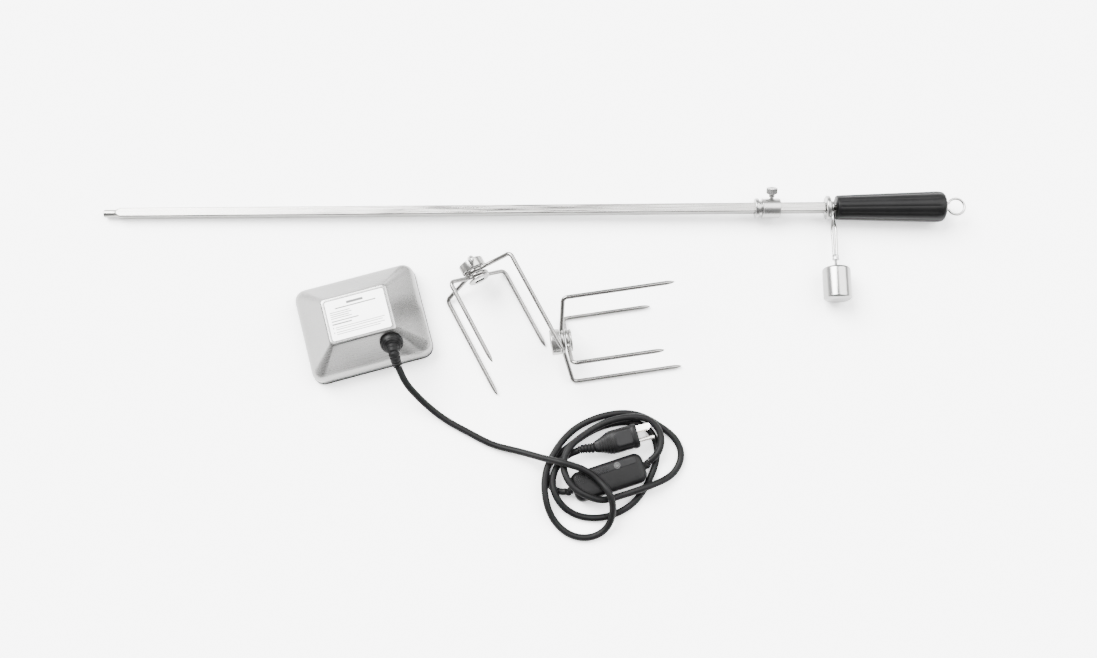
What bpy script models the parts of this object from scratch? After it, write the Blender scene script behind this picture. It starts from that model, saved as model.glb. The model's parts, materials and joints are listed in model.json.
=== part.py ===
"""Rotisserie kit for a grill: gear motor with its mains lead, spit rod with handle and
counterweight, and two meat forks, laid out on a flat surface.

Lengths are in metres, +Z is up and X runs along the spit. The origin is on the surface,
under the middle of the motor, spit and forks.
"""
import math

import bmesh
import bpy
import numpy as np
from mathutils import Matrix, Vector

MM = 0.001
GAP = 0.3 * MM                      # left between pieces that touch

# --- places on the surface -------------------------------------------------
SPIT_TIP = Vector((-479.95, 92.04, 5.5)) * MM     # centre of the rod's thin end
SPIT_TILT = math.radians(0.80)                  # the handle holds that end up
MOTOR_AT = Vector((-185.3, -36.7, 0.0)) * MM
MOTOR_HEADING = math.radians(15.1)
FORKS = {
    "left": (Vector((-60.2, 10.6, 0.0)) * MM, math.radians(-62.3)),
    "right": (Vector((36.3, -61.0, 0.0)) * MM, math.radians(8.2)),
}
SWITCH_AT = Vector((79.3, -205.5, 0.0)) * MM
SWITCH_HEADING = math.radians(18.0)
PLUG_AT = Vector((65.8, -173.5, 15.2)) * MM     # back of the plug body, on its axis
PLUG_HEADING = math.radians(15.6)

# --- spit, along its own X from the thin end -------------------------------
ROD_SIDE = 10.4 * MM
STUB_RADIUS = 4.3 * MM
STUB_END = 12.5 * MM
CONE_END = 21.5 * MM
ROD_END = 804.0 * MM
FLANGE_RADIUS = 13.4 * MM
FLANGE_ENDS = (804.6 * MM, 809.2 * MM)
STUD_RADIUS = 4.0 * MM
STUD_END = 871.0 * MM
HANDLE_ENDS = (816.0 * MM, 937.0 * MM)
HANDLE_RADII = (13.6 * MM, 17.3 * MM)
FLUTES = 12
BUSHING_ENDS = (726.0 * MM, 754.0 * MM)
BUSHING_RADIUS = 11.0 * MM
SCREW_TILT = math.radians(30.0)     # thumb screw above the horizontal
ARM_WIRE = 3.0 * MM
ARM_X = 812.6 * MM
CRIMP_REACH = 58.5 * MM
STEM_REACH = 72.0 * MM
WEIGHT_REACHES = (69.0 * MM, 106.0 * MM)
WEIGHT_RADIUS = 15.4 * MM
LOOP_WIRE = 2.9 * MM
LOOP_RADIUS = 9.2 * MM

# --- forks, along their own X from the plane of the prongs' bends ----------
PRONG_WIRE = 4.6 * MM
HUB_HEIGHT = 31.8 * MM
HUB_RADIUS = 14.0 * MM
HUB_BORE = 11.0 * MM
HUB_LENGTH = 10.5 * MM
PRONGS = {                          # reach from the axis, angle, length, bow side
    "long": (49.6 * MM, math.radians(36.2), 120.4 * MM, 1.0),
    "short": (42.7 * MM, math.radians(136.7), 97.5 * MM, -1.0),
}
PRONG_LAYERS = {"long": -5.0 * MM, "short": 0.0}
BOW_RADIUS = 10.5 * MM
SCREW_BACKED_OUT = {"left": 6.5 * MM, "right": 0.0}
PRONG_BEND = 5.5 * MM

# --- motor housing, in its own axes ----------------------------------------
COVER_SIZE = (132.8 * MM, 104.8 * MM)
COVER_TOP = (70.5 * MM, 50.3 * MM)
COVER_HEIGHT = 53.0 * MM
COVER_FOOT = 4.3 * MM
SHOULDER = 22.0 * MM
SHEET = 1.2 * MM
PLATE = 2.0 * MM
GLAND_X = 26.3 * MM
GLAND_Y = -35.5 * MM
GLAND_RADIUS = 12.4 * MM
POSTS = (54.0 * MM, 40.0 * MM)

# --- gear train: positions of the three shafts in the housing --------------
MODULE = 1.0 * MM
PRESSURE = math.radians(20.0)
OUTPUT_TEETH, IDLER_TEETH, IDLER_PINION_TEETH, ROTOR_TEETH = 40, 36, 14, 12
OUTPUT_AT = Vector((-18.0, -8.0, 0.0)) * MM
IDLER_AT = OUTPUT_AT + Vector(((OUTPUT_TEETH + IDLER_PINION_TEETH) / 2 * MODULE, 0.0, 0.0))
MESH_ANGLE = math.radians(120.0)    # from the idler to the rotor
ROTOR_AT = IDLER_AT + Matrix.Rotation(MESH_ANGLE, 3, "Z") @ Vector(
    ((IDLER_TEETH + ROTOR_TEETH) / 2 * MODULE, 0.0, 0.0))

# --- lead -------------------------------------------------------------------
CORD = 7.4 * MM
CORD_STEP = 17.2 * MM
CORD_FLOOR = 3.78 * MM
# From the motor's strain relief, over the switch box, twice round, to the box's right end.
LEAD_TO_SWITCH = [
    (-143.2, -90.3, 38), (-136.2, -105, 32), (-125.5, -117.5, 21), (-112, -129.5, 10),
    (-94, -142.5, 4.2), (-68, -157, 4), (-44, -169, 4.5), (-20, -176, 9), (-1, -182, 16),
    (14, -187, 23.5), (28, -191, 29.4), (42, -195, 29.2), (56, -200.5, 25.5),
    (69, -210.5, 24.2), (78, -222, 26.4), (82, -232.5, 23), (82.6, -243, 16),
    (79.6, -253.2, 10), (72.6, -261.6, 6), (62, -266.8, 4.1), (50, -267.8, 4),
    (37, -264, 4), (24, -253.5, 5.5), (15.5, -239, 10.5), (11.8, -223, 12.8),
    (11.5, -208, 13), (16, -190.5, 13), (25.5, -173, 10), (41, -155, 4.5), (59, -144, 4),
    (79, -137.5, 4), (99, -135.5, 4), (119, -140, 4), (136, -150, 4), (148, -159.5, 4),
    (155, -169.5, 4), (157.5, -180.5, 4), (154.8, -191.5, 4.2), (148, -201, 5),
    (137, -208.5, 8), (123, -214.5, 12), (105, -220.8, 12.8), (88, -226, 12.6),
    (72, -229.6, 18.2), (56, -226, 24), (42, -217, 23.8), (33.5, -204, 22.8),
    (31.5, -191, 20.8), (35.5, -178.5, 20.3), (44.5, -167.5, 16.5), (59, -156.5, 12.8),
    (78, -146.5, 12.5), (95, -142, 12.4), (110, -141, 12.4), (121.5, -143.4, 12.4),
    (130, -150, 12.4), (135.1, -159.6, 12.6), (135.5, -170.4, 12.9),
    (131.4, -180.4, 12.6), (123.4, -187.7, 10),
]
# From the box's left end, once round under the other turns, to the plug.
LEAD_TO_PLUG = [
    (34.2, -219.8, 8.2), (27.2, -219.5, 5.4), (20.6, -216.3, 4), (15.7, -210.5, 4),
    (13.4, -202.8, 4), (14.6, -194.6, 4), (19.3, -186.8, 4), (28.3, -178.5, 4),
    (38.5, -170.5, 4), (52, -161, 4), (69.5, -151.5, 4), (90, -146, 4), (108, -146, 4),
    (121, -151.5, 4), (129, -162, 4), (132, -175, 4), (130.5, -188, 4), (125.5, -202, 4),
    (117.5, -217, 4), (105, -232, 4), (87.7, -242.5, 4), (67, -247.3, 4),
    (47.5, -245, 4), (33.5, -237.8, 8), (24.3, -227, 13), (20, -213.5, 13.3),
    (21.8, -199.5, 13), (29.5, -187.5, 12), (38.5, -180.5, 11.8), (48, -177, 14),
]

COLOURS = {                         # colour, metallic, roughness
    "brushed_steel": ((0.62, 0.61, 0.59), 1.0, 0.34),
    "polished_steel": ((0.72, 0.71, 0.70), 1.0, 0.16),
    "zinc_steel": ((0.50, 0.50, 0.50), 1.0, 0.42),
    "black_plastic": ((0.012, 0.012, 0.013), 0.0, 0.38),
    "black_rubber": ((0.010, 0.010, 0.010), 0.0, 0.62),
    "white_label": ((0.88, 0.88, 0.86), 0.0, 0.45),
    "gear_brass": ((0.62, 0.45, 0.20), 1.0, 0.35),
    "white_nylon": ((0.72, 0.70, 0.64), 0.0, 0.45),
    "copper_coil": ((0.45, 0.17, 0.07), 1.0, 0.40),
    "nickel_blade": ((0.70, 0.69, 0.66), 1.0, 0.22),
}


# --- scene helpers ----------------------------------------------------------
def clear_scene():
    for item in list(bpy.data.objects):
        bpy.data.objects.remove(item, do_unlink=True)


clear_scene()
KIT = bpy.data.collections.new("rotisserie_kit")
CUTTERS = bpy.data.collections.new("cutters")
bpy.context.scene.collection.children.link(KIT)
bpy.context.scene.collection.children.link(CUTTERS)


def make_material(node, kind):
    """Each sub-part gets a Principled material of its own."""
    colour, metallic, roughness = COLOURS[kind]
    material = bpy.data.materials.new(node)
    material.use_nodes = True
    shader = material.node_tree.nodes["Principled BSDF"]
    shader.inputs["Base Color"].default_value = (*colour, 1.0)
    shader.inputs["Metallic"].default_value = metallic
    shader.inputs["Roughness"].default_value = roughness
    return material


def make_empty(name, location, rotation=(0.0, 0.0, 0.0), parent=None):
    empty = bpy.data.objects.new(name, None)
    empty.empty_display_size = 0.02
    KIT.objects.link(empty)
    empty.location = location
    empty.rotation_euler = rotation
    empty.parent = parent
    return empty


def add_part(name, data, kind, parent=None, location=(0, 0, 0), rotation=(0, 0, 0)):
    part = bpy.data.objects.new(name, data)
    KIT.objects.link(part)
    part.parent = parent
    part.location = location
    part.rotation_euler = rotation
    part.data.materials.append(make_material(name, kind))
    if part.type == "MESH":
        part.data.shade_smooth()
        part.data.set_sharp_from_angle(angle=math.radians(35.0))
    return part


def mesh_from(fill):
    """Mesh whose bmesh is filled by the function given."""
    mesh = bpy.data.meshes.new("shape")
    shape = bmesh.new()
    fill(shape)
    bmesh.ops.recalc_face_normals(shape, faces=shape.faces)
    shape.to_mesh(mesh)
    shape.free()
    return mesh


def add_box(shape, low, high):
    low, high = Vector(low), Vector(high)
    place = Matrix.Translation((low + high) / 2) @ Matrix.Diagonal((*(high - low), 1.0))
    return bmesh.ops.create_cube(shape, size=1.0, matrix=place)["verts"]


def add_cylinder(shape, radius, low, high, axis="Z", centre=(0, 0, 0), sides=24, top=None):
    """Cylinder, or cone when top is given, between two stations on an axis."""
    turn = {"X": Matrix.Rotation(math.radians(90), 4, "Y"), "Z": Matrix.Identity(4),
            "Y": Matrix.Rotation(math.radians(-90), 4, "X")}[axis]
    place = Matrix.Translation(centre) @ turn @ Matrix.Translation((0, 0, (low + high) / 2))
    end = radius if top is None else top
    return bmesh.ops.create_cone(shape, cap_ends=True, segments=sides, radius1=radius,
                                 radius2=end, depth=high - low, matrix=place)["verts"]


def box_mesh(low, high):
    return mesh_from(lambda shape: add_box(shape, low, high))


def cylinder_mesh(radius, low, high, **options):
    return mesh_from(lambda shape: add_cylinder(shape, radius, low, high, **options))


def make_cutter(mesh, parent):
    cutter = bpy.data.objects.new("cutter", mesh)
    CUTTERS.objects.link(cutter)
    cutter.parent = parent
    cutter.hide_render = True
    cutter.display_type = "WIRE"
    return cutter


def boolean(part, mesh, operation="DIFFERENCE"):
    """Cut or join a mesh given in the part's parent's axes."""
    modifier = part.modifiers.new(operation.lower(), "BOOLEAN")
    modifier.operation = operation
    modifier.solver = "EXACT"
    modifier.object = make_cutter(mesh, part.parent)


def add_bevel(part, width, segments=2, angle=40.0):
    bevel = part.modifiers.new("bevel", "BEVEL")
    bevel.width = width
    bevel.segments = segments
    bevel.limit_method = "ANGLE"
    bevel.angle_limit = math.radians(angle)


def turned(name, profile, kind, parent, location=(0, 0, 0), rotation=(0, 0, 0), steps=28):
    """Solid of revolution about its own Z; the profile lists radius and height, top first."""
    mesh = bpy.data.meshes.new(name)
    points = [(radius, 0.0, height) for radius, height in profile]
    edges = [(i, i + 1) for i in range(len(points) - 1)]
    closed = profile[0][0] > 0.0
    if closed:
        edges.append((len(points) - 1, 0))
    mesh.from_pydata(points, edges, [])
    part = add_part(name, mesh, kind, parent, location, rotation)
    screw = part.modifiers.new("turn", "SCREW")
    screw.axis = "Z"
    screw.steps = screw.render_steps = steps
    screw.use_merge_vertices = True
    screw.merge_threshold = 0.00001
    screw.use_smooth_shade = True
    return part


def wire(name, points, diameter, kind, parent=None, radii=None, resolution=2):
    """Round wire along a polyline, with filled ends."""
    curve = bpy.data.curves.new(name, "CURVE")
    curve.dimensions = "3D"
    curve.bevel_depth = diameter / 2
    curve.bevel_resolution = resolution
    curve.use_fill_caps = True
    spline = curve.splines.new("POLY")
    spline.points.add(len(points) - 1)
    for index, point in enumerate(points):
        spline.points[index].co = (*point, 1.0)
        spline.points[index].radius = 1.0 if radii is None else radii[index]
    return add_part(name, curve, kind, parent)


def smooth_route(points, step, floor=None):
    """Points at even steps along the natural cubic spline through the points given."""
    knots = np.array([tuple(point) for point in points], dtype=float)
    stations = np.concatenate([[0.0], np.cumsum(np.linalg.norm(np.diff(knots, axis=0), axis=1))])
    spans = np.diff(stations)
    count = len(knots)
    system = np.eye(count)
    right = np.zeros((count, 3))
    for i in range(1, count - 1):
        system[i, i - 1:i + 2] = spans[i - 1], 2 * (spans[i - 1] + spans[i]), spans[i]
        right[i] = 6 * ((knots[i + 1] - knots[i]) / spans[i]
                        - (knots[i] - knots[i - 1]) / spans[i - 1])
    bends = np.linalg.solve(system, right)
    route = []
    for station in np.linspace(0.0, stations[-1], round(stations[-1] / step) + 1):
        i = min(max(int(np.searchsorted(stations, station)) - 1, 0), count - 2)
        before = (stations[i + 1] - station) / spans[i]
        after = 1.0 - before
        point = before * knots[i] + after * knots[i + 1] + (
            (before ** 3 - before) * bends[i] + (after ** 3 - after) * bends[i + 1]
        ) * spans[i] ** 2 / 6
        if floor is not None:
            point[2] = max(point[2], floor)
        route.append(Vector(point))
    return route


def lead_route(points):
    return smooth_route([Vector(point) * MM for point in points], CORD_STEP, CORD_FLOOR)


def lead_end(points, last, root):
    """In the axes of root: where a piece that meets the lead stops, and the way it faces."""
    route = lead_route(points)
    end, inner = (route[-1], route[-2]) if last else (route[0], route[1])
    inverse = root.matrix_basis.inverted()
    facing = (inverse @ inner - inverse @ end).normalized()
    return inverse @ end - facing * 2 * GAP, facing


def rounded_rectangle(size, radius, corner_steps=4):
    """Outline of a rectangle with round corners, anticlockwise."""
    outline = []
    for quarter, (sx, sy) in enumerate(((1, 1), (-1, 1), (-1, -1), (1, -1))):
        centre = (sx * (size[0] / 2 - radius), sy * (size[1] / 2 - radius))
        for step in range(corner_steps + 1):
            angle = math.pi / 2 * (quarter + step / corner_steps)
            outline.append((centre[0] + radius * math.cos(angle),
                            centre[1] + radius * math.sin(angle)))
    return outline


def loft(shape, sections, close_low=True, close_high=True):
    """Skin between outlines of equal count; sections list outline and height, low first."""
    rings = [[shape.verts.new((x, y, height)) for x, y in outline]
             for outline, height in sections]
    for low, high in zip(rings, rings[1:]):
        for i in range(len(low)):
            j = (i + 1) % len(low)
            shape.faces.new((low[i], low[j], high[j], high[i]))
    if close_low:
        shape.faces.new(list(reversed(rings[0])))
    if close_high:
        shape.faces.new(rings[-1])


def slab_mesh(outline, low, high, holes=()):
    """Flat plate of an outline, with holes given as further outlines."""
    curve = bpy.data.curves.new("outline", "CURVE")
    curve.dimensions = "2D"
    curve.fill_mode = "BOTH"
    curve.extrude = (high - low) / 2
    for ring in (outline, *holes):
        spline = curve.splines.new("POLY")
        spline.points.add(len(ring) - 1)
        spline.use_cyclic_u = True
        for index, (x, y) in enumerate(ring):
            spline.points[index].co = (x, y, 0.0, 1.0)
    guide = bpy.data.objects.new("outline", curve)
    CUTTERS.objects.link(guide)
    depsgraph = bpy.context.evaluated_depsgraph_get()
    mesh = bpy.data.meshes.new_from_object(guide.evaluated_get(depsgraph))
    bpy.data.objects.remove(guide)
    shape = bmesh.new()
    shape.from_mesh(mesh)
    bmesh.ops.remove_doubles(shape, verts=shape.verts, dist=0.000001)
    bmesh.ops.translate(shape, verts=shape.verts, vec=(0.0, 0.0, (low + high) / 2))
    bmesh.ops.recalc_face_normals(shape, faces=shape.faces)
    shape.to_mesh(mesh)
    shape.free()
    return mesh


def circle(radius, centre=(0.0, 0.0), sides=24):
    return [(centre[0] + radius * math.cos(2 * math.pi * i / sides),
             centre[1] + radius * math.sin(2 * math.pi * i / sides)) for i in range(sides)]


# --- motor housing ----------------------------------------------------------
def slope_height(distance):
    """Height of the cover's long sloping sides at a distance from its middle."""
    inner, outer = COVER_TOP[1] / 2, COVER_SIZE[1] / 2 - 2.0 * MM
    return COVER_HEIGHT - (COVER_HEIGHT - SHOULDER) * (distance - inner) / (outer - inner)


def slope_normal():
    rise = COVER_HEIGHT - SHOULDER
    run = COVER_SIZE[1] / 2 - 2.0 * MM - COVER_TOP[1] / 2
    return Vector((0.0, -rise, run)).normalized()


def make_housing(root):
    width, depth = COVER_SIZE
    inset = 2.0 * MM

    def cover(shape):
        sections = [
            (rounded_rectangle((width, depth), 12 * MM), COVER_FOOT),
            (rounded_rectangle((width, depth), 12 * MM), SHOULDER - 6 * MM),
            (rounded_rectangle((width - 1.2 * inset, depth - 1.2 * inset), 11 * MM),
             SHOULDER - 1.5 * MM),
            (rounded_rectangle((width - 2.6 * inset, depth - 2.6 * inset), 9 * MM),
             SHOULDER + 0.7 * MM),
            (rounded_rectangle((COVER_TOP[0] + 2 * MM, COVER_TOP[1] + 2 * MM), 4 * MM),
             COVER_HEIGHT - 1.2 * MM),
            (rounded_rectangle(COVER_TOP, 3 * MM), COVER_HEIGHT),
        ]
        loft(shape, sections, close_low=False)

    part = add_part("motor_cover", mesh_from(cover), "brushed_steel", root)
    shell = part.modifiers.new("sheet", "SOLIDIFY")
    shell.thickness = SHEET
    shell.offset = -1.0
    shell.use_even_offset = True
    gland = Vector((GLAND_X, GLAND_Y, slope_height(-GLAND_Y)))
    turn = slope_normal().to_track_quat("Z", "Y").to_matrix().to_4x4()
    hole = cylinder_mesh(8.0 * MM, -6 * MM, 6 * MM)
    hole.transform(Matrix.Translation(gland) @ turn)
    boolean(part, hole)

    plate_outline = rounded_rectangle((width - 1.6 * MM, depth - 1.6 * MM), 11 * MM)
    screw_places = [(sx * POSTS[0], sy * POSTS[1]) for sx in (-1, 1) for sy in (-1, 1)]
    holes = [circle(2.4 * MM, place, 16) for place in screw_places]
    holes.append(circle(10.2 * MM, OUTPUT_AT[:2], 32))
    base = slab_mesh(plate_outline, 0.0, PLATE, holes)
    add_part("base_plate", base, "zinc_steel", root)

    ring = rounded_rectangle((width + 1.2 * MM, depth + 1.2 * MM), 12.6 * MM)
    inside = rounded_rectangle((width - 9 * MM, depth - 9 * MM), 8 * MM)
    seal = slab_mesh(ring, PLATE + GAP, COVER_FOOT - GAP, [inside])
    add_part("base_gasket", seal, "black_rubber", root)

    label = rounded_rectangle((64.0 * MM, 43.6 * MM), 1.5 * MM, 2)
    sticker = slab_mesh(label, COVER_HEIGHT + 0.15 * MM, COVER_HEIGHT + 0.5 * MM)
    add_part("rating_label", sticker, "white_label", root)

    for index, (x, y) in enumerate(screw_places, 1):
        centre = (x, y, 0.0)
        post = slab_mesh(circle(4.5 * MM, (x, y), 12), PLATE + GAP, 15 * MM)
        pillar = add_part(f"cover_post_{index}", post, "zinc_steel", root)
        boolean(pillar, cylinder_mesh(2.4 * MM, -1 * MM, 13 * MM, centre=centre, sides=12))
        screw = cylinder_mesh(2.0 * MM, 0.4 * MM, 11 * MM, centre=centre, sides=12)
        add_part(f"cover_screw_{index}", screw, "zinc_steel", root)
    return gland, turn


def make_gland(root, gland, turn):
    """Round gland on the sloping side, and the ribbed strain relief that leaves it."""
    rim = GLAND_RADIUS / MM
    profile = [
        (0.0, 9.0), (4.5, 8.8), (8.0, 7.8), (10.8, 5.8), (rim - 0.2, 3.2), (rim, 1.6),
        (rim, 0.5), (7.6, 0.5), (7.6, -4.0), (0.0, -4.0),
    ]
    part = turned("cord_gland", [(r * MM, z * MM) for r, z in profile], "black_plastic", root)
    part.matrix_local = Matrix.Translation(gland) @ turn
    nut = [(0.0, -4.4), (9.0, -4.4), (9.0, -8.4), (0.0, -8.4)]
    washer = turned("gland_nut", [(r * MM, z * MM) for r, z in nut], "black_plastic", root,
                    steps=6)
    washer.matrix_local = Matrix.Translation(gland) @ turn
    start = gland + slope_normal() * 9.4 * MM
    end, facing = lead_end(LEAD_TO_SWITCH, False, root)
    route = smooth_route([start, start + slope_normal() * 2.0 * MM,
                          (start + end) / 2 + Vector((0.0, -1.0, 4.6)) * MM,
                          end - facing * 1.5 * MM, end], 1.45 * MM)
    taper = np.linspace(1.0, 0.76, len(route))
    radii = [size * (1.0 if i % 3 else 0.84) for i, size in enumerate(taper)]
    wire("gland_strain_relief", route, 13.0 * MM, "black_rubber", root, radii)


def gear_outline(teeth, turn=0.0):
    """Involute gear outline of the shared module, thinned for running clearance."""
    pitch = teeth * MODULE / 2
    base = pitch * math.cos(PRESSURE)
    tip, root = pitch + 0.92 * MODULE, pitch - 1.2 * MODULE
    half = math.pi / (2 * teeth) - 0.12 * MM / pitch

    def involute(angle):
        return math.tan(angle) - angle

    flank = []
    for radius in np.linspace(max(base, root + 0.15 * MODULE), tip, 3):
        rolled = math.acos(min(1.0, base / radius))
        flank.append((radius, half + involute(PRESSURE) - involute(rolled)))
    outline = []
    for tooth in range(teeth):
        middle = turn + 2 * math.pi * tooth / teeth
        outline.append((root, middle - flank[0][1]))
        outline += [(radius, middle - angle) for radius, angle in flank]
        outline += [(radius, middle + angle) for radius, angle in reversed(flank)]
        outline.append((root, middle + flank[0][1]))
    return [(radius * math.cos(angle), radius * math.sin(angle)) for radius, angle in outline]


def add_gear(name, teeth, low, high, bore, kind, parent, turn=0.0):
    mesh = slab_mesh(gear_outline(teeth, turn), low * MM, high * MM, [circle(bore, sides=20)])
    return add_part(name, mesh, kind, parent)


def make_gear_motor(root):
    output = make_empty("output_axis", OUTPUT_AT, parent=root)
    idler = make_empty("idler_axis", IDLER_AT, parent=root)
    rotor = make_empty("rotor_axis", ROTOR_AT, parent=root)

    socket = add_part("drive_socket", cylinder_mesh(9.0 * MM, 0.4 * MM, 13.4 * MM, sides=32),
                      "zinc_steel", output)
    half = HUB_BORE / 2
    boolean(socket, box_mesh((-half, -half, -2 * MM), (half, half, 11.8 * MM)))
    add_gear("output_gear", OUTPUT_TEETH, 6.6, 12.0, 9.3 * MM, "white_nylon", output)

    # A tooth of the idler's pinion points at a gap of the output gear.
    pinion_turn = math.pi + math.pi / IDLER_PINION_TEETH
    compound = add_gear("idler_gear", IDLER_TEETH, 14.2, 18.0, 1.8 * MM, "white_nylon", idler,
                        MESH_ANGLE)
    boolean(compound, slab_mesh(gear_outline(IDLER_PINION_TEETH, pinion_turn), 6.6 * MM,
                                15.0 * MM, [circle(1.8 * MM, sides=20)]), "UNION")
    add_part("idler_shaft", cylinder_mesh(1.5 * MM, 4.4 * MM, 21.4 * MM, sides=12),
             "zinc_steel", idler)
    rotor_turn = MESH_ANGLE + math.pi + math.pi / ROTOR_TEETH
    spindle = add_part("rotor_pinion", slab_mesh(gear_outline(ROTOR_TEETH, rotor_turn),
                                                 14.2 * MM, 18.0 * MM), "gear_brass", rotor)
    boolean(spindle, cylinder_mesh(1.5 * MM, 12.6 * MM, 36.0 * MM, sides=12), "UNION")
    magnet = slab_mesh(circle(11 * MM), 24.4 * MM, 34.0 * MM, [circle(1.8 * MM, sides=12)])
    add_part("rotor_magnet", magnet, "zinc_steel", rotor)

    # Gearbox: floor plate, housing over the gears, and the bush that the socket turns in.
    outline = rounded_rectangle((76 * MM, 60 * MM), 6 * MM)
    middle = Vector((-5.0, -3.0)) * MM
    placed = [(x + middle.x, y + middle.y) for x, y in outline]
    floor = slab_mesh(placed, 4.2 * MM, 5.8 * MM, [
        circle(11.6 * MM, OUTPUT_AT[:2], 32), circle(1.7 * MM, IDLER_AT[:2], 16)])
    tray = add_part("gearbox_floor", floor, "zinc_steel", root)
    for x, y in ((-38, -28), (28, -28), (-38, 22), (28, 22)):
        foot = cylinder_mesh(3 * MM, PLATE + GAP, 5 * MM, centre=(x * MM, y * MM, 0), sides=12)
        boolean(tray, foot, "UNION")
    bush = slab_mesh(circle(11.3 * MM, sides=32), 2.9 * MM, 6.2 * MM,
                     [circle(9.2 * MM, sides=32)])
    add_part("output_bush", bush, "gear_brass", root, OUTPUT_AT)

    def housing(shape):
        loft(shape, [(placed, 6.1 * MM), (placed, 21.0 * MM)])

    inner = [(x + middle.x, y + middle.y) for x, y in
             rounded_rectangle((73 * MM, 57 * MM), 4.5 * MM)]
    box = add_part("gearbox_housing", mesh_from(housing), "zinc_steel", root)
    boolean(box, slab_mesh(inner, 3.0 * MM, 19.2 * MM))
    boolean(box, cylinder_mesh(2.4 * MM, 15 * MM, 25 * MM, centre=ROTOR_AT, sides=16))
    boolean(box, cylinder_mesh(1.7 * MM, 15 * MM, 25 * MM, centre=IDLER_AT, sides=16))

    can = [(0.0, 38.2), (17.5, 38.2), (19.5, 36.4), (19.5, 21.4), (18.3, 21.4),
           (18.3, 36.9), (0.0, 36.9)]
    turned("motor_can", [(r * MM, z * MM) for r, z in can], "zinc_steel", root, ROTOR_AT)
    coil = slab_mesh(circle(17.8 * MM, sides=28), 22.2 * MM, 35.6 * MM,
                     [circle(12.2 * MM, sides=28)])
    add_part("field_coil", coil, "copper_coil", root, ROTOR_AT)


# --- forks ------------------------------------------------------------------
def prong_points(kind):
    """One bent wire: prong, base bowed round the bore, and the other prong."""
    reach, angle, length, side = PRONGS[kind]
    layer = PRONG_LAYERS[kind]
    out = Vector((0.0, math.cos(angle), math.sin(angle)))
    across = Vector((0.0, -math.sin(angle), math.cos(angle))) * side
    bow_start = 13.6 * MM

    def half(sign):
        away = out * sign
        tip = away * reach + Vector((length, 0.0, 0.0))
        points = [tip, tip - Vector((9 * MM, 0.0, 0.0)), tip - Vector((length / 2, 0.0, 0.0))]
        centre = away * (reach - PRONG_BEND) + Vector((PRONG_BEND, 0.0, 0.0))
        for step in range(6):
            bend = math.pi / 2 * step / 5
            points.append(centre + away * PRONG_BEND * math.cos(bend)
                          - Vector((PRONG_BEND * math.sin(bend), 0.0, 0.0)))
        points.append(away * bow_start + Vector((layer, 0.0, 0.0)))
        return points

    bow = []
    for step in range(1, 8):
        turn = math.pi * step / 8
        bow.append((out * math.cos(turn) + across * math.sin(turn)) * BOW_RADIUS
                   + Vector((layer, 0.0, 0.0)))
    return half(1) + bow + list(reversed(half(-1)))


def make_fork(side):
    place, heading = FORKS[side]
    root = make_empty(f"{side}_fork", place + Vector((0.0, 0.0, HUB_HEIGHT)),
                      (0.0, 0.0, heading))
    for kind in PRONGS:
        points = prong_points(kind)
        radii = [1.0] * len(points)
        radii[0] = radii[-1] = 0.12
        wire(f"{side}_fork_{kind}_prongs", points, PRONG_WIRE, "brushed_steel", root, radii)

    back = PRONG_LAYERS["long"] - PRONG_WIRE / 2 - GAP
    front = PRONG_LAYERS["short"] + PRONG_WIRE / 2 + GAP
    half = HUB_BORE / 2
    hub = add_part(f"{side}_fork_hub", cylinder_mesh(HUB_RADIUS, back - HUB_LENGTH, back,
                                                     axis="X", sides=36),
                   "brushed_steel", root)
    add_bevel(hub, 0.6 * MM)
    boolean(hub, box_mesh((back - HUB_LENGTH - 5 * MM, -half, -half), (back + 5 * MM, half, half)))
    screw_x = back - HUB_LENGTH / 2
    tapped = cylinder_mesh(2.8 * MM, 0.0, 2 * HUB_RADIUS, centre=(screw_x, 0, 0), sides=16)
    boolean(hub, tapped)
    plate = add_part(f"{side}_fork_plate", cylinder_mesh(12.0 * MM, front, front + 2.2 * MM,
                                                         axis="X", sides=36),
                     "brushed_steel", root)
    boolean(plate, box_mesh((front - 5 * MM, -half, -half), (front + 8 * MM, half, half)))
    axis = make_empty(f"{side}_fork_screw_axis", (screw_x, 0.0, 0.0), parent=root)
    screw = [(0.0, 24.2), (2.9, 24.2), (3.4, 23.6), (3.4, 18.4), (2.4, 17.8), (2.4, 6.2),
             (0.0, 6.2)]
    lift = Vector((0.0, 0.0, SCREW_BACKED_OUT[side]))
    turned(f"{side}_fork_screw", [(r * MM, z * MM) for r, z in screw], "polished_steel", axis,
           lift, steps=16)


# --- spit -------------------------------------------------------------------
def make_spit():
    root = make_empty("spit_axis", SPIT_TIP, (0.0, -SPIT_TILT, 0.0))
    half = ROD_SIDE / 2

    bar = add_part("spit_rod", box_mesh((CONE_END, -half, -half), (ROD_END, half, half)),
                   "brushed_steel", root)
    add_bevel(bar, 0.7 * MM, 1)
    nose = cylinder_mesh(STUB_RADIUS, 0.0, STUB_END + MM, axis="X", sides=20)
    cone = cylinder_mesh(STUB_RADIUS - 0.1 * MM, STUB_END, CONE_END + 2 * MM, axis="X",
                         sides=20, top=half * 1.08)
    boolean(bar, cone, "UNION")
    boolean(bar, nose, "UNION")
    stud = cylinder_mesh(STUD_RADIUS, ROD_END - 3 * MM, STUD_END, axis="X", sides=20)
    boolean(bar, stud, "UNION")

    flange = add_part("end_flange", cylinder_mesh(FLANGE_RADIUS, *FLANGE_ENDS, axis="X",
                                                  sides=40), "polished_steel", root)
    add_bevel(flange, 0.8 * MM)
    boolean(flange, cylinder_mesh(STUD_RADIUS + GAP, FLANGE_ENDS[0] - 5 * MM,
                                  FLANGE_ENDS[1] + 5 * MM, axis="X", sides=20))
    make_bushing(root)
    make_handle(root)
    make_counterweight(root)


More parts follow.
